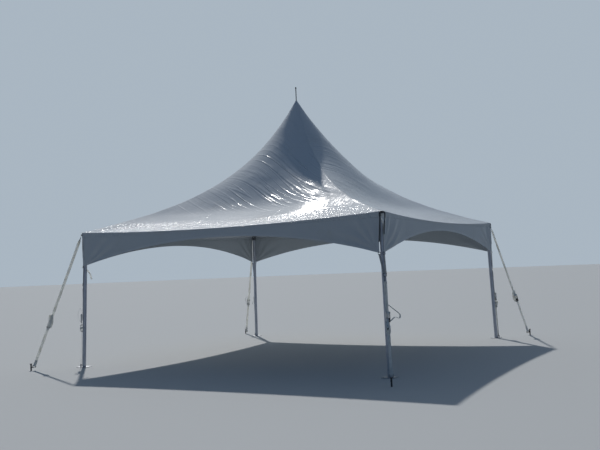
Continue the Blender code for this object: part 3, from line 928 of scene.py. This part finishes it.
@dataclass
class Canopy:
    """The roof: one continuous sheet over the peak, with its eave rope and its peak collar."""

    material: bpy.types.Material
    rows: int = 130
    columns: int = 84
    crowd: float = 1.35
    cut: float = 7.4
    cloth_area: float = 44.5
    folds: int = 15
    fold_reach: float = 0.35
    fold_depth: float = 0.0035
    pull_depth: float = 0.0035
    pucker_depth: float = 0.0018
    slack_depth: float = 0.004
    rope: float = 0.008
    rope_steps: int = 48
    collar: tuple[float, ...] = (0.16, 0.10, 0.06, 0.03)
    neck_rings: tuple[Spot, ...] = ((0.021, 0.012), (0.019, 0.028))
    collar_gauge: float = 0.003
    lift: float = 0.0035
    neck: float = 0.0098

    def share(self, row: int) -> float:
        """How far a row is from the peak, as a share."""
        hole = SHAPE.rod_hole / (SHAPE.half * math.sqrt(2))
        return hole + (1 - hole) * (row / (self.rows - 1)) ** self.crowd

    def across(self, column: int) -> float:
        """How far a column is from the middle of its side; columns crowd towards the hips."""
        even = -1 + 2 * column / self.columns
        return 0.55 * even + 0.45 * math.sin(even * math.pi / 2)

    def crumple(self, point: Vector, share: float) -> float:
        """How far the sheet lies above its swept surface.

        Args:
            point: The point on the swept surface.
            share: From 0 at the peak to 1 at the eave.

        Returns:
            The height, in metres.
        """
        calm = min(share / 0.12, 1.0) * min((1 - share) / 0.02, 1.0)
        pull = noise.noise(Vector((point.x * 0.8, point.y * 0.8, point.z * 5.0)))
        pucker = noise.noise(point * 5.5)
        slack = noise.noise(point * 1.9 + Vector((7, 3, 1)))
        from_corner = math.hypot(point.x - SHAPE.half, abs(point.y) - SHAPE.half)
        ray = math.atan2(SHAPE.half - abs(point.y), max(SHAPE.half - point.x, 1e-4))
        reach = math.exp(-((from_corner - self.fold_reach) / self.fold_reach) ** 2)
        folds = math.sin(ray * self.folds + slack * 1.5) * reach
        return calm * (pull * self.pull_depth + pucker * self.pucker_depth
                       + slack * self.slack_depth + folds * self.fold_depth)

    def build(self) -> None:
        """Make the sheet, its rope and its collar."""
        maker = MeshMaker()

        def place(row: int, column: int) -> Vector:
            """A point of the sheet.

            Args:
                row: Its row, from the peak.
                column: Its column, round the tent.

            Returns:
                The point.
            """
            side, step = divmod(column, self.columns)
            share = self.share(row)
            point = SHAPE.roof_point(share, self.across(step))
            point.z += self.crumple(point, share)
            return Matrix.Rotation(side * math.pi / 2, 4, "Z") @ point

        maker.grid(self.rows, self.columns * 4, place, True)
        sheet = maker.piece("canopy_roof", self.material, "membrane", smooth=SHEET_SMOOTH)
        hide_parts(*[f"roof_panel_{side.word}" for side in Side])
        self.build_rope()
        self.build_collar()

    def build_rope(self) -> None:
        """The rope in its pocket along the four eaves."""
        maker = MeshMaker()
        shift = Vector((self.rope * 0.6, 0, self.rope * 0.75))
        for side in Side:
            steps = [-SHAPE.reach + 2 * SHAPE.reach * step / self.rope_steps
                     for step in range(self.rope_steps + 1)]
            path = [side.turn @ (SHAPE.roof_point(1.0, across) - shift) for across in steps]
            maker.tube(path, self.rope, 10, UP)
        maker.piece("eave_rope", self.material, "membrane")

    def build_collar(self) -> None:
        """The doubled cone and the clamped neck round the peak rod."""
        maker = MeshMaker()
        skirt = [(r, SHAPE.hip_height(r / (SHAPE.half * math.sqrt(2))) + self.lift)
                 for r in self.collar]
        upper = [(r, skirt[-1][1] + rise) for r, rise in self.neck_rings]
        top = upper[-1][1]
        outer = [*skirt, *upper, (self.neck, top)]
        inner = [(r - self.collar_gauge / 2, h - self.collar_gauge)
                 for r, h in reversed(outer[:-1])]
        maker.turned([*outer, (self.neck, top - self.collar_gauge), *inner],
                     Matrix.Identity(4), 40)
        maker.piece("peak_collar", self.material, "membrane")


@dataclass
class Valance:
    """The skirt under one eave, with its hems and its tension folds."""

    side: Side
    material: bpy.types.Material
    hemmed: bpy.types.Material
    columns: int = 260
    rows: int = 26
    hem: float = 0.038
    hem_rise: float = 0.0016
    end_rows: int = 25
    folds: int = 17
    fold_reach: float = 0.42
    fold_depth: float = 0.0075
    ripple_depth: float = 0.006
    pucker_depth: float = 0.0016
    pull_reach: float = 0.30
    seed: float = 0.0

    def crumple(self, point: Vector) -> float:
        """How far the skirt lies off its plane.

        Args:
            point: The point on the plane.

        Returns:
            The distance outwards, in metres.
        """
        shift = Vector((self.seed, 0, 0))
        total = 0.0
        for sign in (-1, 1):
            away = SHAPE.half - SHAPE.slit - sign * point.y
            up = point.z - SHAPE.valance_corner
            distance = math.hypot(away, up)
            angle = math.atan2(up, max(away, 1e-4))
            wander = noise.noise(Vector((distance * 1.5, angle * 2, sign)) + shift)
            fold = math.sin(angle * self.folds + wander * 2.6 + self.seed)
            crest = math.copysign(abs(fold) ** 0.8, fold)
            reach = math.exp(-((distance - self.fold_reach) / self.fold_reach) ** 2)
            total += crest * reach * self.fold_depth
        ripple = noise.noise(Vector((point.y * 3.2, point.z * 1.1, 2)) + shift)
        pucker = noise.noise(Vector((point.y * 11, point.z * 7, 5)) + shift)
        total = total + ripple * self.ripple_depth + pucker * self.pucker_depth
        top = SHAPE.eave_corner - SHAPE.eave_sag * (1 - (point.y / SHAPE.half) ** 2)
        return total * min((top - point.z) / 0.06, 1.0)

    def point(self, across: float, down: float, lift: float = 0.0) -> Vector:
        """A point of the skirt or of a hem on it.

        Args:
            across: From -reach to reach along the side.
            down: From 0 at the eave to 1 at the arched edge.
            lift: How far it stands off the skirt.

        Returns:
            The point, in the side's frame.
        """
        point = SHAPE.valance_point(across, down)
        shift = self.pull(point)
        point.x += self.crumple(point) + lift
        return point + shift

    def pull(self, point: Vector) -> Vector:
        """How far the nearest lower corner draws the skirt with it.

        Args:
            point: The point on the skirt.

        Returns:
            The shift, in the side's frame.
        """
        corner = Corner((self.side.value + math.copysign(45, point.y)) % 360)
        share = math.exp(-((SHAPE.half - abs(point.y)) / self.pull_reach) ** 2)
        aside = corner.turn @ (ASIDE * (pulled_aside(corner, point.z) * share))
        return self.side.turn.inverted() @ aside

    def across(self, column: int) -> float:
        """A column's place along the side."""
        return SHAPE.reach * (-1 + 2 * column / (self.columns - 1))

    def build(self) -> None:
        """Make the skirt and its hems."""
        maker = MeshMaker()
        maker.grid(self.rows, self.columns,
                   lambda i, j: self.point(self.across(j), i / (self.rows - 1)),
                   flat=lambda i, j: (self.across(j) * SHAPE.half, i / self.rows))
        skirt = maker.piece(f"valance_skirt_{self.side.word}", self.material, "membrane",
                            self.side.turn, SHEET_SMOOTH)
        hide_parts(f"valance_{self.side.word}")
        self.build_hems()

    def build_hems(self) -> None:
        """The folded hems along the arch and down both ends."""
        maker = MeshMaker()
        for face in (1, -1):
            rise = self.hem_rise * face

            def band(i: int, j: int) -> Vector:
                """A point of the hem along the arch.

                Args:
                    i: Its row.
                    j: Its column.

                Returns:
                    The point.
                """
                middle = self.across(j)
                depth = (SHAPE.valance_point(middle, 0) - SHAPE.valance_point(middle, 1)).z
                return self.point(middle, 1 - self.hem * i / 3 / depth, rise if i < 3 else 0.0)

            maker.grid(4, self.columns, band,
                       flat=lambda i, j: (self.across(j) * SHAPE.half, self.hem * i / 3))
            for sign in (-1, 1):

                def end_band(i: int, j: int) -> Vector:
                    """A point of the hem down an end.

                    Args:
                        i: Its row.
                        j: Its column.

                    Returns:
                        The point.
                    """
                    inward = self.hem * j / 3 / SHAPE.half
                    across = sign * (SHAPE.reach - inward)
                    return self.point(across, i / (self.end_rows - 1), rise if j < 3 else 0.0)

                maker.grid(self.end_rows, 4, end_band,
                           flat=lambda i, j: (i * 0.026, self.hem * j / 3))
        maker.piece(f"valance_hem_{self.side.word}", self.hemmed, "membrane", self.side.turn,
                    SHEET_SMOOTH)


def hull(discs: Sequence[Offset]) -> list[Spot]:
    """The outline of discs' common hull.

    Args:
        discs: Each disc's X, Y and radius.

    Returns:
        The outline, anticlockwise.
    """
    dots = sorted((x + radius * math.cos(math.tau * k / 20),
                   y + radius * math.sin(math.tau * k / 20))
                  for x, y, radius in discs for k in range(20))

    def chain(source: Sequence[Spot]) -> list[Spot]:
        """One side of the hull.

        Args:
            source: The dots, in order.

        Returns:
            Its points, without the last.
        """
        kept: list[Spot] = []
        for dot in source:
            while len(kept) > 1 and (
                (kept[-1][0] - kept[-2][0]) * (dot[1] - kept[-2][1])
                - (kept[-1][1] - kept[-2][1]) * (dot[0] - kept[-2][0])
            ) <= 1e-12:
                kept.pop()
            kept.append(dot)
        return kept[:-1]

    return chain(dots) + chain(dots[::-1])


@dataclass
class Ratchet:
    """A closed ratchet buckle, in the frame of its strap: X along it, Y outwards, Z across it."""

    metal: bpy.types.Material
    grip: bpy.types.Material
    length: float = 0.11
    gauge: float = 0.0025
    plate_at: float = 0.0295
    arm_at: float = 0.0333
    gear_at: float = 0.0365
    spool: Vector = field(default_factory=lambda: Vector((-0.035, 0.0118, 0)))
    roller: Spot = (0.010, 0.0068)
    gear: float = 0.0175
    teeth: int = 11
    tooth: tuple[Spot, ...] = ((0.0, 0.78), (0.55, 0.98), (0.72, 1.0), (0.80, 0.76))
    hub: tuple[Spot, ...] = ((0.0, 0.0022), (0.0065, 0.0012), (0.0065, -0.0012), (0.0, -0.0012))
    handle: float = 0.15
    bevel: float = 0.0006

    def gear_outline(self) -> list[Spot]:
        """A ratchet wheel with saw teeth.

        Returns:
            Its outline.
        """
        points = []
        for tooth in range(self.teeth):
            for share, radius in self.tooth:
                turn = math.tau * (tooth + share) / self.teeth
                points.append((self.spool.x + self.gear * radius * math.cos(turn),
                               self.spool.y + self.gear * radius * math.sin(turn)))
        return points

    def build(self, name: str, node: str, place: Matrix) -> None:
        """Make the buckle.

        Args:
            name: What its two pieces' names start with.
            node: The solid that it stands for.
            place: From its own frame to the tent's.
        """
        metal = MeshMaker()
        end = self.length / 2
        side = hull([(-end + 0.015, 0.011, 0.015), (-end + 0.032, 0.012, 0.014),
                     (end - 0.011, 0.0068, 0.0108), (0, 0.006, 0.010)])
        x, y = self.spool.x, self.spool.y
        far = x - 0.01 + self.handle
        arm = hull([(x, y, 0.014), (far - 0.009, y + 0.001, 0.009)])
        for sign in (-1, 1):
            for outline, at, bevel in (
                    (side, self.plate_at, self.bevel), (arm, self.arm_at, self.bevel),
                    (self.gear_outline(), self.gear_at, self.bevel / 2)):
                metal.plate(outline, self.gauge, Matrix.Translation((0, 0, sign * at)), bevel)
            metal.turned(self.hub, Matrix.Translation((x, y, sign * (self.gear_at + 0.0015))), 16)
        reach = self.arm_at + self.gauge
        inner = self.plate_at + self.gauge
        for at, height, radius, span in (
            (x, y, 0.0085, reach), (end - self.roller[0], self.roller[1], 0.005, inner),
            (far - 0.045, y - 0.002, 0.004, reach), (0.012, 0.004, 0.003, inner),
        ):
            metal.tube([Vector((at, height, -span)), Vector((at, height, span))], radius, 14, OUT)
        frame_piece = metal.piece(f"{name}_frame", self.metal, "zinc", place, FITTING_SMOOTH)
        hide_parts(node)
        handle = MeshMaker()
        stops = (-reach, -0.024, -0.022, 0.0, 0.022, 0.024, reach)
        handle.tube([Vector((far - 0.009, y, z)) for z in stops], 0.0085, 18, OUT)
        handle.plate(hull([(far - 0.060, y + 0.004, 0.004), (far - 0.022, y + 0.004, 0.004)]),
                     0.052, Matrix.Identity(4), 0.001)
        handle.piece(f"{name}_grip", self.grip, "dark_steel", place, FITTING_SMOOTH)


def strap_frame(start: Vector, end: Vector, height: float, twist: float = 0.0) -> Matrix:
    """The frame of a strap at a height.

    Args:
        start: The strap's upper end.
        end: Its lower end.
        height: Where the frame is.
        twist: How far the strap is twisted by then, in degrees.

    Returns:
        A frame with X along the strap, Y outwards and Z across it.
    """
    along = (end - start).normalized()
    across = (along * along.y - ASIDE).normalized()
    origin = start + (end - start) * ((height - start.z) / (end.z - start.z))
    axes = Matrix((along, across.cross(along), across)).transposed().to_4x4()
    return Matrix.Translation(origin) @ axes @ Matrix.Rotation(math.radians(twist), 4, "X")


def eased(points: Path, steps: int = 6) -> list[Vector]:
    """A smooth curve through points.

    Args:
        points: The points that it goes through.
        steps: How many pieces it has between two of them.

    Returns:
        The curve's points.
    """
    ends = [points[0] * 2 - points[1], *points, points[-1] * 2 - points[-2]]
    path = []
    for a, b, c, d in zip(ends, ends[1:], ends[2:], ends[3:]):
        for step in range(steps):
            t = step / steps
            path.append(0.5 * (b * 2 + (c - a) * t + (a * 2 - b * 5 + c * 4 - d) * t * t
                               + (b * 3 - a - c * 3 + d) * t ** 3))
    return [*path, points[-1].copy()]


@dataclass
class StrapRun:
    """One tensioned strap: its webbing, the turns on its ratchet, and its loose tail."""

    corner: Corner
    webbing: bpy.types.Material
    ratchet: Ratchet
    width: float = 0.050
    gauge: float = 0.0026
    bar: float = 0.006
    sewn: float = 0.03
    lap: float = 0.07
    turns: float = 2.6
    turn_steps: int = 16
    roll: float = 0.0175
    roll_growth: float = 0.0068
    end_lap: float = 0.11
    roller_lap: float = 0.09
    twist: float = 0.0
    twist_start: float = 0.03
    twist_length: float = 0.16
    twist_steps: int = 14

    def eye(self, bar: Vector, towards: Vector, lap: float, across: Vector) -> list[Vector]:
        """The path of a sewn end round a bar.

        Args:
            bar: The bar's middle.
            towards: Where the strap goes.
            lap: How far the sewn tail runs back along the strap.
            across: The bar's direction.

        Returns:
            The points, from the sewn tail's end, round the bar and onto the strap.
        """
        along = (towards - bar).normalized()
        level = (along - across * along.dot(across)).normalized()
        normal = across.cross(level)
        radius = self.bar + self.gauge / 2 + 0.0003
        path = [bar + along * back + normal * self.gauge * 1.05 for back in (lap, self.sewn)]
        for step in range(13):
            turn = math.radians(50 + 260 * step / 12)
            path.append(bar + level * radius * math.cos(turn) + normal * radius * math.sin(turn))
        return [*path, bar + along * self.sewn]

    def wound(self, place: Matrix) -> list[Vector]:
        """The turns on the spool.

        Args:
            place: The ratchet's frame, in the corner's frame.

        Returns:
            Their path, from the strap to the core, in the corner's frame.
        """
        centre = self.ratchet.spool
        steps = int(self.turns * self.turn_steps)
        path = []
        for step in range(steps + 1):
            turn = -math.pi / 2 + math.tau * self.turns * step / steps
            radius = self.roll - self.roll_growth * step / steps
            path.append(place @ Vector((centre.x + radius * math.cos(turn),
                                        centre.y + radius * math.sin(turn), 0)))
        return path

    def build(self, kind: str, start: Vector, end: Vector, height: float) -> Matrix:
        """Make the webbing and its ratchet.

        Args:
            kind: What the pieces' and the solids' names start with.
            start: The strap's upper end.
            end: Its lower end.
            height: Where the ratchet is.

        Returns:
            The ratchet's frame, in the corner's frame.
        """
        ratchet, word = self.ratchet, self.corner.word
        place = strap_frame(start, end, height, self.twist)
        wide = place.to_3x3() @ UP
        upper = place @ Vector((ratchet.spool.x, ratchet.spool.y - self.roll, 0))
        roller = place @ Vector((ratchet.length / 2 - ratchet.roller[0], ratchet.roller[1], 0))
        maker = MeshMaker()
        self.upper_end(maker, start, upper, self.wound(place), wide)
        path = [*self.eye(end, roller, self.end_lap, wide),
                *self.eye(roller, end, self.roller_lap, wide)[::-1]]
        maker.strap(path, self.width, self.gauge, wide)
        strap = self.finish(maker, f"{kind}_webbing_{word}")
        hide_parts(f"{kind}_strap_{word}")
        ratchet.build(f"{kind}_ratchet_{word}", f"{kind}_ratchet_{word}", self.corner.turn @ place)
        return place

    def finish(self, maker: MeshMaker, name: str) -> bpy.types.Object:
        """The mesh as a piece of webbing."""
        return maker.piece(name, self.webbing, "webbing", self.corner.turn, STRAP_SMOOTH)

    def upper_end(self, maker: MeshMaker, start: Vector, upper: Vector, wound: list[Vector],
                  wide: Vector) -> None:
        """The stretch from the upper bar, through its twist, to the spool and round it.

        Args:
            maker: The mesh that the strap goes into.
            start: The strap's upper end.
            upper: Where it reaches the spool.
            wound: Its turns on the spool.
            wide: The direction of its width at the spool.
        """
        path = self.eye(start, upper, self.lap, -ASIDE)
        wides = [-ASIDE] * len(path)
        run = (upper - start).normalized()
        flat = strap_frame(start, upper, start.z).to_3x3()

        def twisted(share: float) -> Vector:
            """The strap's width, so far through the twist."""
            turn = smoothed(share) * math.radians(self.twist)
            return flat @ Matrix.Rotation(turn, 3, "X") @ UP

        for step in range(1, self.twist_steps + 1):
            share = step / self.twist_steps
            path.append(start + run * (self.twist_start + self.twist_length * share))
            wides.append(twisted(share))
        wides[:2] = twisted((self.lap - self.twist_start) / self.twist_length), twisted(0.0)
        maker.strap([*path, *wound], self.width, self.gauge, [*wides, *[wide] * len(wound)])

    def loose_end(self, name: str, place: Matrix, offsets: Sequence[Offset]) -> None:
        """The strap's free end, from under its ratchet.

        Args:
            name: The piece's name.
            place: The ratchet's frame, in the corner's frame.
            offsets: Where it hangs, out, along and up from the ratchet's lower end.
        """
        under = self.ratchet.spool.y - self.roll - self.gauge * 1.3
        points = [place @ Vector((x, under, 0)) for x in (self.ratchet.spool.x, 0.02, 0.062)]
        points += [points[-1] + Vector(offset) for offset in offsets]
        path = eased(points)
        first = place.to_3x3() @ UP
        last = first if abs(first.z) < 0.5 else -ASIDE
        if max(abs(offset[1]) for offset in offsets) > max(abs(offset[0]) for offset in offsets):
            last = OUT
        maker = MeshMaker()
        maker.strap(path, self.width, self.gauge,
                    [first.lerp(last, min(i / 12, 1.0)) for i in range(len(path))])
        piece = self.finish(maker, name)

    def bundle(self, name: str, place: Matrix, rests_on: str) -> None:
        """Spare webbing folded up on the strap and tied round its middle.

        Args:
            name: The piece's name.
            place: The bundle's frame: X along the strap, Y out and Z across.
            rests_on: The piece that it is tied to; not used.
        """
        path, tie = [], []
        turns, steps, half, core, growth, tied = 3.4, 18, 0.042, 0.011, 0.0052, 0.044
        for step in range(int(turns * steps)):
            angle = math.tau * step / steps
            radius = core + growth * step / steps
            end = half if math.cos(angle) >= 0 else -half
            wave = 0.004 * math.sin(step * 0.9)
            path.append(place @ Vector((end + radius * math.cos(angle),
                                        radius * math.sin(angle) + wave * 0.3, wave)))
        for step in range(27):
            angle = math.tau * step / 26
            corner = (abs(math.cos(angle)) ** 4 + abs(math.sin(angle)) ** 4) ** -0.25
            tie.append(place @ Vector((0.006 * math.sin(angle), 0.0325 * corner * math.sin(angle),
                                       0.0305 * corner * math.cos(angle))))
        maker = MeshMaker()
        maker.strap(path, self.width, self.gauge, place.to_3x3() @ UP)
        maker.strap(tie, tied, self.gauge, place.to_3x3() @ OUT)
        piece = self.finish(maker, name)


@dataclass
class YokeRun(StrapRun):
    """The strap beside a leg: two tails from the valances meet at a ring, with a hook below it."""

    steel: bpy.types.Material | None = None
    # The tails' webbing, coloured as the straps look in shade: painted shade.
    shaded_tail_webbing: bpy.types.Material | None = None
    yoke: float = 0.31
    spread: float = 0.0389
    tail: float = 0.030
    hook: float = 0.13
    hook_lap: float = 0.12
    eyelet_bar: float = 0.0036
    link_bar: float = 0.0042
    claw_bar: float = 0.0038
    claw_offset: float = 0.012
    pin: float = 0.029
    eyelet: tuple[Spot, ...] = ((-0.019, -0.010), (0.019, -0.010), (0.019, 0.016), (0.010, 0.026),
                                (-0.010, 0.026), (-0.019, 0.016))
    link: tuple[Spot, ...] = ((0.0, -0.030), (0.0, 0.030), (0.040, 0.027), (0.052, 0.0),
                              (0.040, -0.027))
    claw: tuple[Spot, ...] = ((0.055, 0.006), (0.049, 0.007), (0.046, 0.0), (0.052, -0.008),
                              (0.075, -0.006), (0.127, 0.0))

    def upper_end(self, maker: MeshMaker, start: Vector, upper: Vector, wound: list[Vector],
                  wide: Vector) -> None:
        """The two tails, the ring and the hook, and the strap from there to the spool.

        Args:
            maker: The mesh that the strap goes into.
            start: The strap's upper end.
            upper: Where it reaches the spool.
            wound: Its turns on the spool.
            wide: The direction of its width at the spool.
        """
        along = (upper - start).normalized()
        normal = along.cross(ASIDE)
        ring = start + along * self.yoke
        hook = ring + along * self.hook
        yoke, fitting = MeshMaker(), MeshMaker()
        for sign in (-1, 1):
            aside = sign * self.spread + pulled_aside(self.corner, start.z)
            top = start + Vector((0.001, aside, -0.012))
            low = ring + Vector((0, sign * 0.014, 0.004))
            yoke.strap([top + Vector((-0.002, 0, -0.004)), low], self.tail, self.gauge,
                       ASIDE - along * sign * 0.12)
            corners = [top + Vector((0.002, a, b)) for a, b in self.eyelet]
            fitting.ring(corners, self.eyelet_bar, OUT)
        yoke.piece(f"leg_yoke_{self.corner.word}", self.shaded_tail_webbing, "webbing", self.corner.turn,
                   STRAP_SMOOTH)
        path = [*self.eye(hook, upper, self.hook_lap, -ASIDE), *wound]
        maker.strap(path, self.width, self.gauge, wide)
        corners = [ring + along * a + ASIDE * b for a, b in self.link]
        fitting.ring(corners, self.link_bar, normal)
        for sign in (-1, 1):
            claw = [ring + along * a + normal * b + ASIDE * (sign * self.claw_offset)
                    for a, b in self.claw]
            fitting.tube(claw, self.claw_bar, 10, ASIDE)
        fitting.tube([hook - ASIDE * self.pin, hook + ASIDE * self.pin], self.link_bar, 10, normal)
        fitting.piece(f"yoke_ring_{self.corner.word}", self.steel, "dark_steel", self.corner.turn)


@dataclass
class SlitTrim:
    """The slit between two valances: a dark strip of painted shade that arches over the cap, and a
    loose tie.
    """

    corner: Corner
    # The dark finish of the strip of painted shade.
    dark: bpy.types.Material
    webbing: bpy.types.Material
    width: float = 0.022
    gauge: float = 0.0024
    stand: float = 4.3072
    inner: float = 0.037
    outer: float = 0.045
    shoulder: float = 2.476
    rise: float = 0.017
    steps: int = 24
    arch_steps: int = 16
    spread_from: float = 2.38
    spread_over: float = 0.06
    wander: float = 0.0015
    ends: Spot = (2.04, 2.15)
    tie_width: float = 0.030
    tie_gauge: float = 0.0016
    tie_wide: Offset = (0.93, 0.0, -0.36)
    tie_points: tuple[Offset, ...] = ((4.310, -0.040, -0.004), (4.290, -0.045, -0.03),
                                      (4.235, -0.048, -0.07), (4.185, -0.052, -0.13),
                                      (4.150, -0.056, -0.245))

    def binding(self) -> None:
        """The dark strip of painted shade, up one side of the slit, over the cap and down the other
        side.
        """
        path, wides = [], []
        for sign, low in zip((-1, 1), self.ends):
            side = []
            for step in range(self.steps + 1):
                height = low + (self.shoulder - low) * step / self.steps
                share = clamped((height - self.spread_from) / self.spread_over)
                wander = noise.noise(Vector((height * 5.0, sign * 3.0, self.corner.value)))
                across = self.inner + (self.outer - self.inner) * share + wander * self.wander
                across = sign * across + pulled_aside(self.corner, height)
                side.append(Vector((self.stand, across, height)))
            if sign > 0:
                side.reverse()
                for step in range(1, self.arch_steps):
                    turn = math.pi * (1 - step / self.arch_steps)
                    path.append(Vector((self.stand, self.outer * math.cos(turn),
                                        self.shoulder + self.rise * math.sin(turn))))
                    wides.append(Vector((0, math.cos(turn), math.sin(turn))))
            path += side
            wides += [ASIDE * sign] * len(side)
        maker = MeshMaker()
        maker.strap(path, self.width, self.gauge, wides)
        maker.piece(f"slit_binding_{self.corner.word}", self.dark, "membrane", self.corner.turn,
                    STRAP_SMOOTH)

    def tie(self) -> None:
        """The free end of the tie, hanging behind the leg from a valance's lower corner."""
        low = SHAPE.valance_corner
        path = eased([Vector((x, y, low + z)) for x, y, z in self.tie_points])
        maker = MeshMaker()
        maker.strap(path, self.tie_width, self.tie_gauge, Vector(self.tie_wide))
        piece = maker.piece(f"tie_end_{self.corner.word}", self.webbing, "webbing",
                            self.corner.turn, STRAP_SMOOTH)

    def build(self) -> None:
        """Make what this corner has: one has no strip of painted shade, and one has a loose tie."""
        if self.corner is not Corner.BACK_LEFT:
            self.binding()
        if self.corner is Corner.FRONT_LEFT:
            self.tie()


@dataclass
class Studio:
    """Floor, light and camera."""

    floor_tone: Colour = (0.48, 0.49, 0.49)
    floor_radius: float = 150.0
    floor_drop: float = 0.0005
    sky_towards: Offset = (-0.50, 0.84, 0.22)
    sky_stops: tuple[tuple[float, Colour], ...] = ((0.62, (0.055, 0.100, 0.175)),
                                                   (0.93, (0.40, 0.47, 0.54)))
    key_from: Offset = (-0.459, 0.547, 0.700)
    key_colour: Colour = (1.0, 0.98, 0.95)
    key_strength: float = 2.3
    key_degrees: float = 1.5
    sensor: float = 36.0
    focal_px: float = 792.667
    width_px: float = 600.0
    stand: Offset = (7.659, -14.1942, 1.7073)
    turn: Offset = (-0.0389, 1.6235, 0.4962)

    def floor(self) -> None:
        """A plain pale floor."""
        mesh = bpy.data.meshes.new("floor")
        bm = bmesh.new()
        bmesh.ops.create_circle(bm, cap_ends=True, segments=96, radius=self.floor_radius)
        bmesh.ops.translate(bm, verts=bm.verts[:], vec=(0, 0, -self.floor_drop))
        bm.to_mesh(mesh)
        bm.free()
        graph = Graph("pale_floor", {"Base Color": self.floor_tone, "Roughness": 0.9})
        mesh.materials.append(graph.material)
        linked("floor", mesh)

    def sky(self) -> None:
        """Soft light from all round, brighter behind the tent than in front of it."""
        world = bpy.data.worlds.new("studio")
        bpy.context.scene.world = world
        world.use_nodes = True
        nodes = Nodes(world.node_tree)
        source = nodes.add("ShaderNodeTexCoord").outputs["Generated"]
        towards = nodes.add("ShaderNodeVectorMath", {0: source, 1: self.sky_towards},
                            operation="DOT_PRODUCT").outputs["Value"]
        span = nodes.add("ShaderNodeMapRange", {"Value": towards, "From Min": -1.0})
        ramp = nodes.add("ShaderNodeValToRGB", {"Fac": span.outputs["Result"]},
                         stops=self.sky_stops)
        nodes.feed(nodes.tree.nodes["Background"].inputs["Color"], ramp.outputs["Color"])
        bpy.context.scene.view_settings.view_transform = "Standard"

    def key(self) -> None:
        """One large soft light, high behind the tent."""
        light = bpy.data.lights.new("key", "SUN")
        light.energy = self.key_strength
        light.angle = math.radians(self.key_degrees)
        light.color = self.key_colour
        obj = linked("key", light)
        obj.rotation_mode = "QUATERNION"
        obj.rotation_quaternion = Vector(self.key_from).to_track_quat("Z", "Y")

    def camera(self) -> None:
        """The camera, where the photograph was taken from."""
        data = bpy.data.cameras.new("camera")
        data.sensor_width = self.sensor
        data.lens = self.focal_px * self.sensor / self.width_px
        data.clip_end = 500.0
        obj = linked("camera", data)
        roll, tilt, azimuth = (Matrix.Rotation(angle, 4, axis)
                               for angle, axis in zip(self.turn, "ZXZ"))
        obj.matrix_world = Matrix.Translation(self.stand) @ (azimuth @ tilt @ roll)
        bpy.context.scene.camera = obj

    def build(self) -> None:
        """Set up the studio."""
        self.floor()
        self.sky()
        self.key()
        self.camera()


def dress_solids(finishes: dict[str, bpy.types.Material]) -> None:
    """Give each solid that stays its finish.

    Args:
        finishes: The finishes by the start of the solids' names; the first match counts.
    """
    for name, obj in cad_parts.items():
        for prefix, material in finishes.items():
            if name.startswith(prefix):
                obj.data.materials.clear()
                obj.data.materials.append(material)
                break


def main() -> None:
    """Build and dress the tent."""
    logging.basicConfig(level=logging.INFO, format="%(message)s")
    Studio().build()
    membrane = CoatedMembrane().material()
    # The valances' membrane: the same white cloth as the roof, its colour darkened as painted
    # shade.
    shaded_skirting = CoatedMembrane("shaded_skirting_membrane", (0.43, 0.47, 0.50)).material()
    hemmed = CoatedMembrane("hemmed_membrane", (0.48, 0.52, 0.55), stitched=True).material()
    tube = SatinTube().material()
    steel = GalvanisedSteel().material()
    # The leg caps' galvanised steel, its colour darkened to near black as painted shade.
    shaded_cap_steel = GalvanisedSteel("painted_shade_cap_steel", (0.09, 0.095, 0.10)).material()
    zinc, dark, grip = ZincPlate().material(), DarkPaint().material(), PlainPlastic().material()
    webbing = Webbing().material()
    # A dark strip of painted shade along the slit's edges and over the cap.
    binding = Webbing("dark_binding", (0.06, 0.07, 0.08), (0.05, 0.05, 0.05), (0.03, 0.03, 0.03),
                      width=0.022).material()
    # The yoke's tails: strap webbing coloured mid-grey, the tone of the straps in shade, as painted
    # shade.
    shaded_tail_webbing = Webbing("painted_shade_webbing", (0.34, 0.36, 0.38), (0.24, 0.24, 0.23), (0.16, 0.16, 0.16),
                   width=0.030).material()
    Canopy(membrane).build()
    for number, side in enumerate(Side):
        Valance(side, shaded_skirting, hemmed, seed=number * 3.7).build()
    for corner in Corner:
        place = CornerPlace(corner)
        ratchet = Ratchet(zinc, grip)
        guy = StrapRun(corner, webbing, ratchet, twist=GUYS[corner].twist)
        at = guy.build("guy", *place.guy_ends(), GUY_RATCHET_HEIGHT)
        out, aside = GUYS[corner].loop
        guy.loose_end(f"guy_tail_{corner.word}", at,
                      [(out * share, aside * share, up) for share, up in GUY_LOOP])
        leg = YokeRun(corner, webbing, ratchet, steel=dark, shaded_tail_webbing=shaded_tail_webbing)
        ends = place.leg_strap_ends()
        at = leg.build("leg", *ends, LEG_RATCHET_HEIGHT)
        leg.loose_end(f"leg_tail_{corner.word}", at, LEG_LOOPS[corner])
        leg.bundle(f"leg_bundle_{corner.word}", strap_frame(*ends, BUNDLE_HEIGHT),
                   f"leg_webbing_{corner.word}")
        SlitTrim(corner, binding, webbing).build()
    dress_solids({
        "leg_cap": shaded_cap_steel, "leg_": tube, "foot_plate": steel, "guy_stake": dark,
        "cross_cable": WireRope().material(), "mast_": steel, "mast": tube, "peak_rod": dark,
    })


if __name__ == "__main__":
    main()
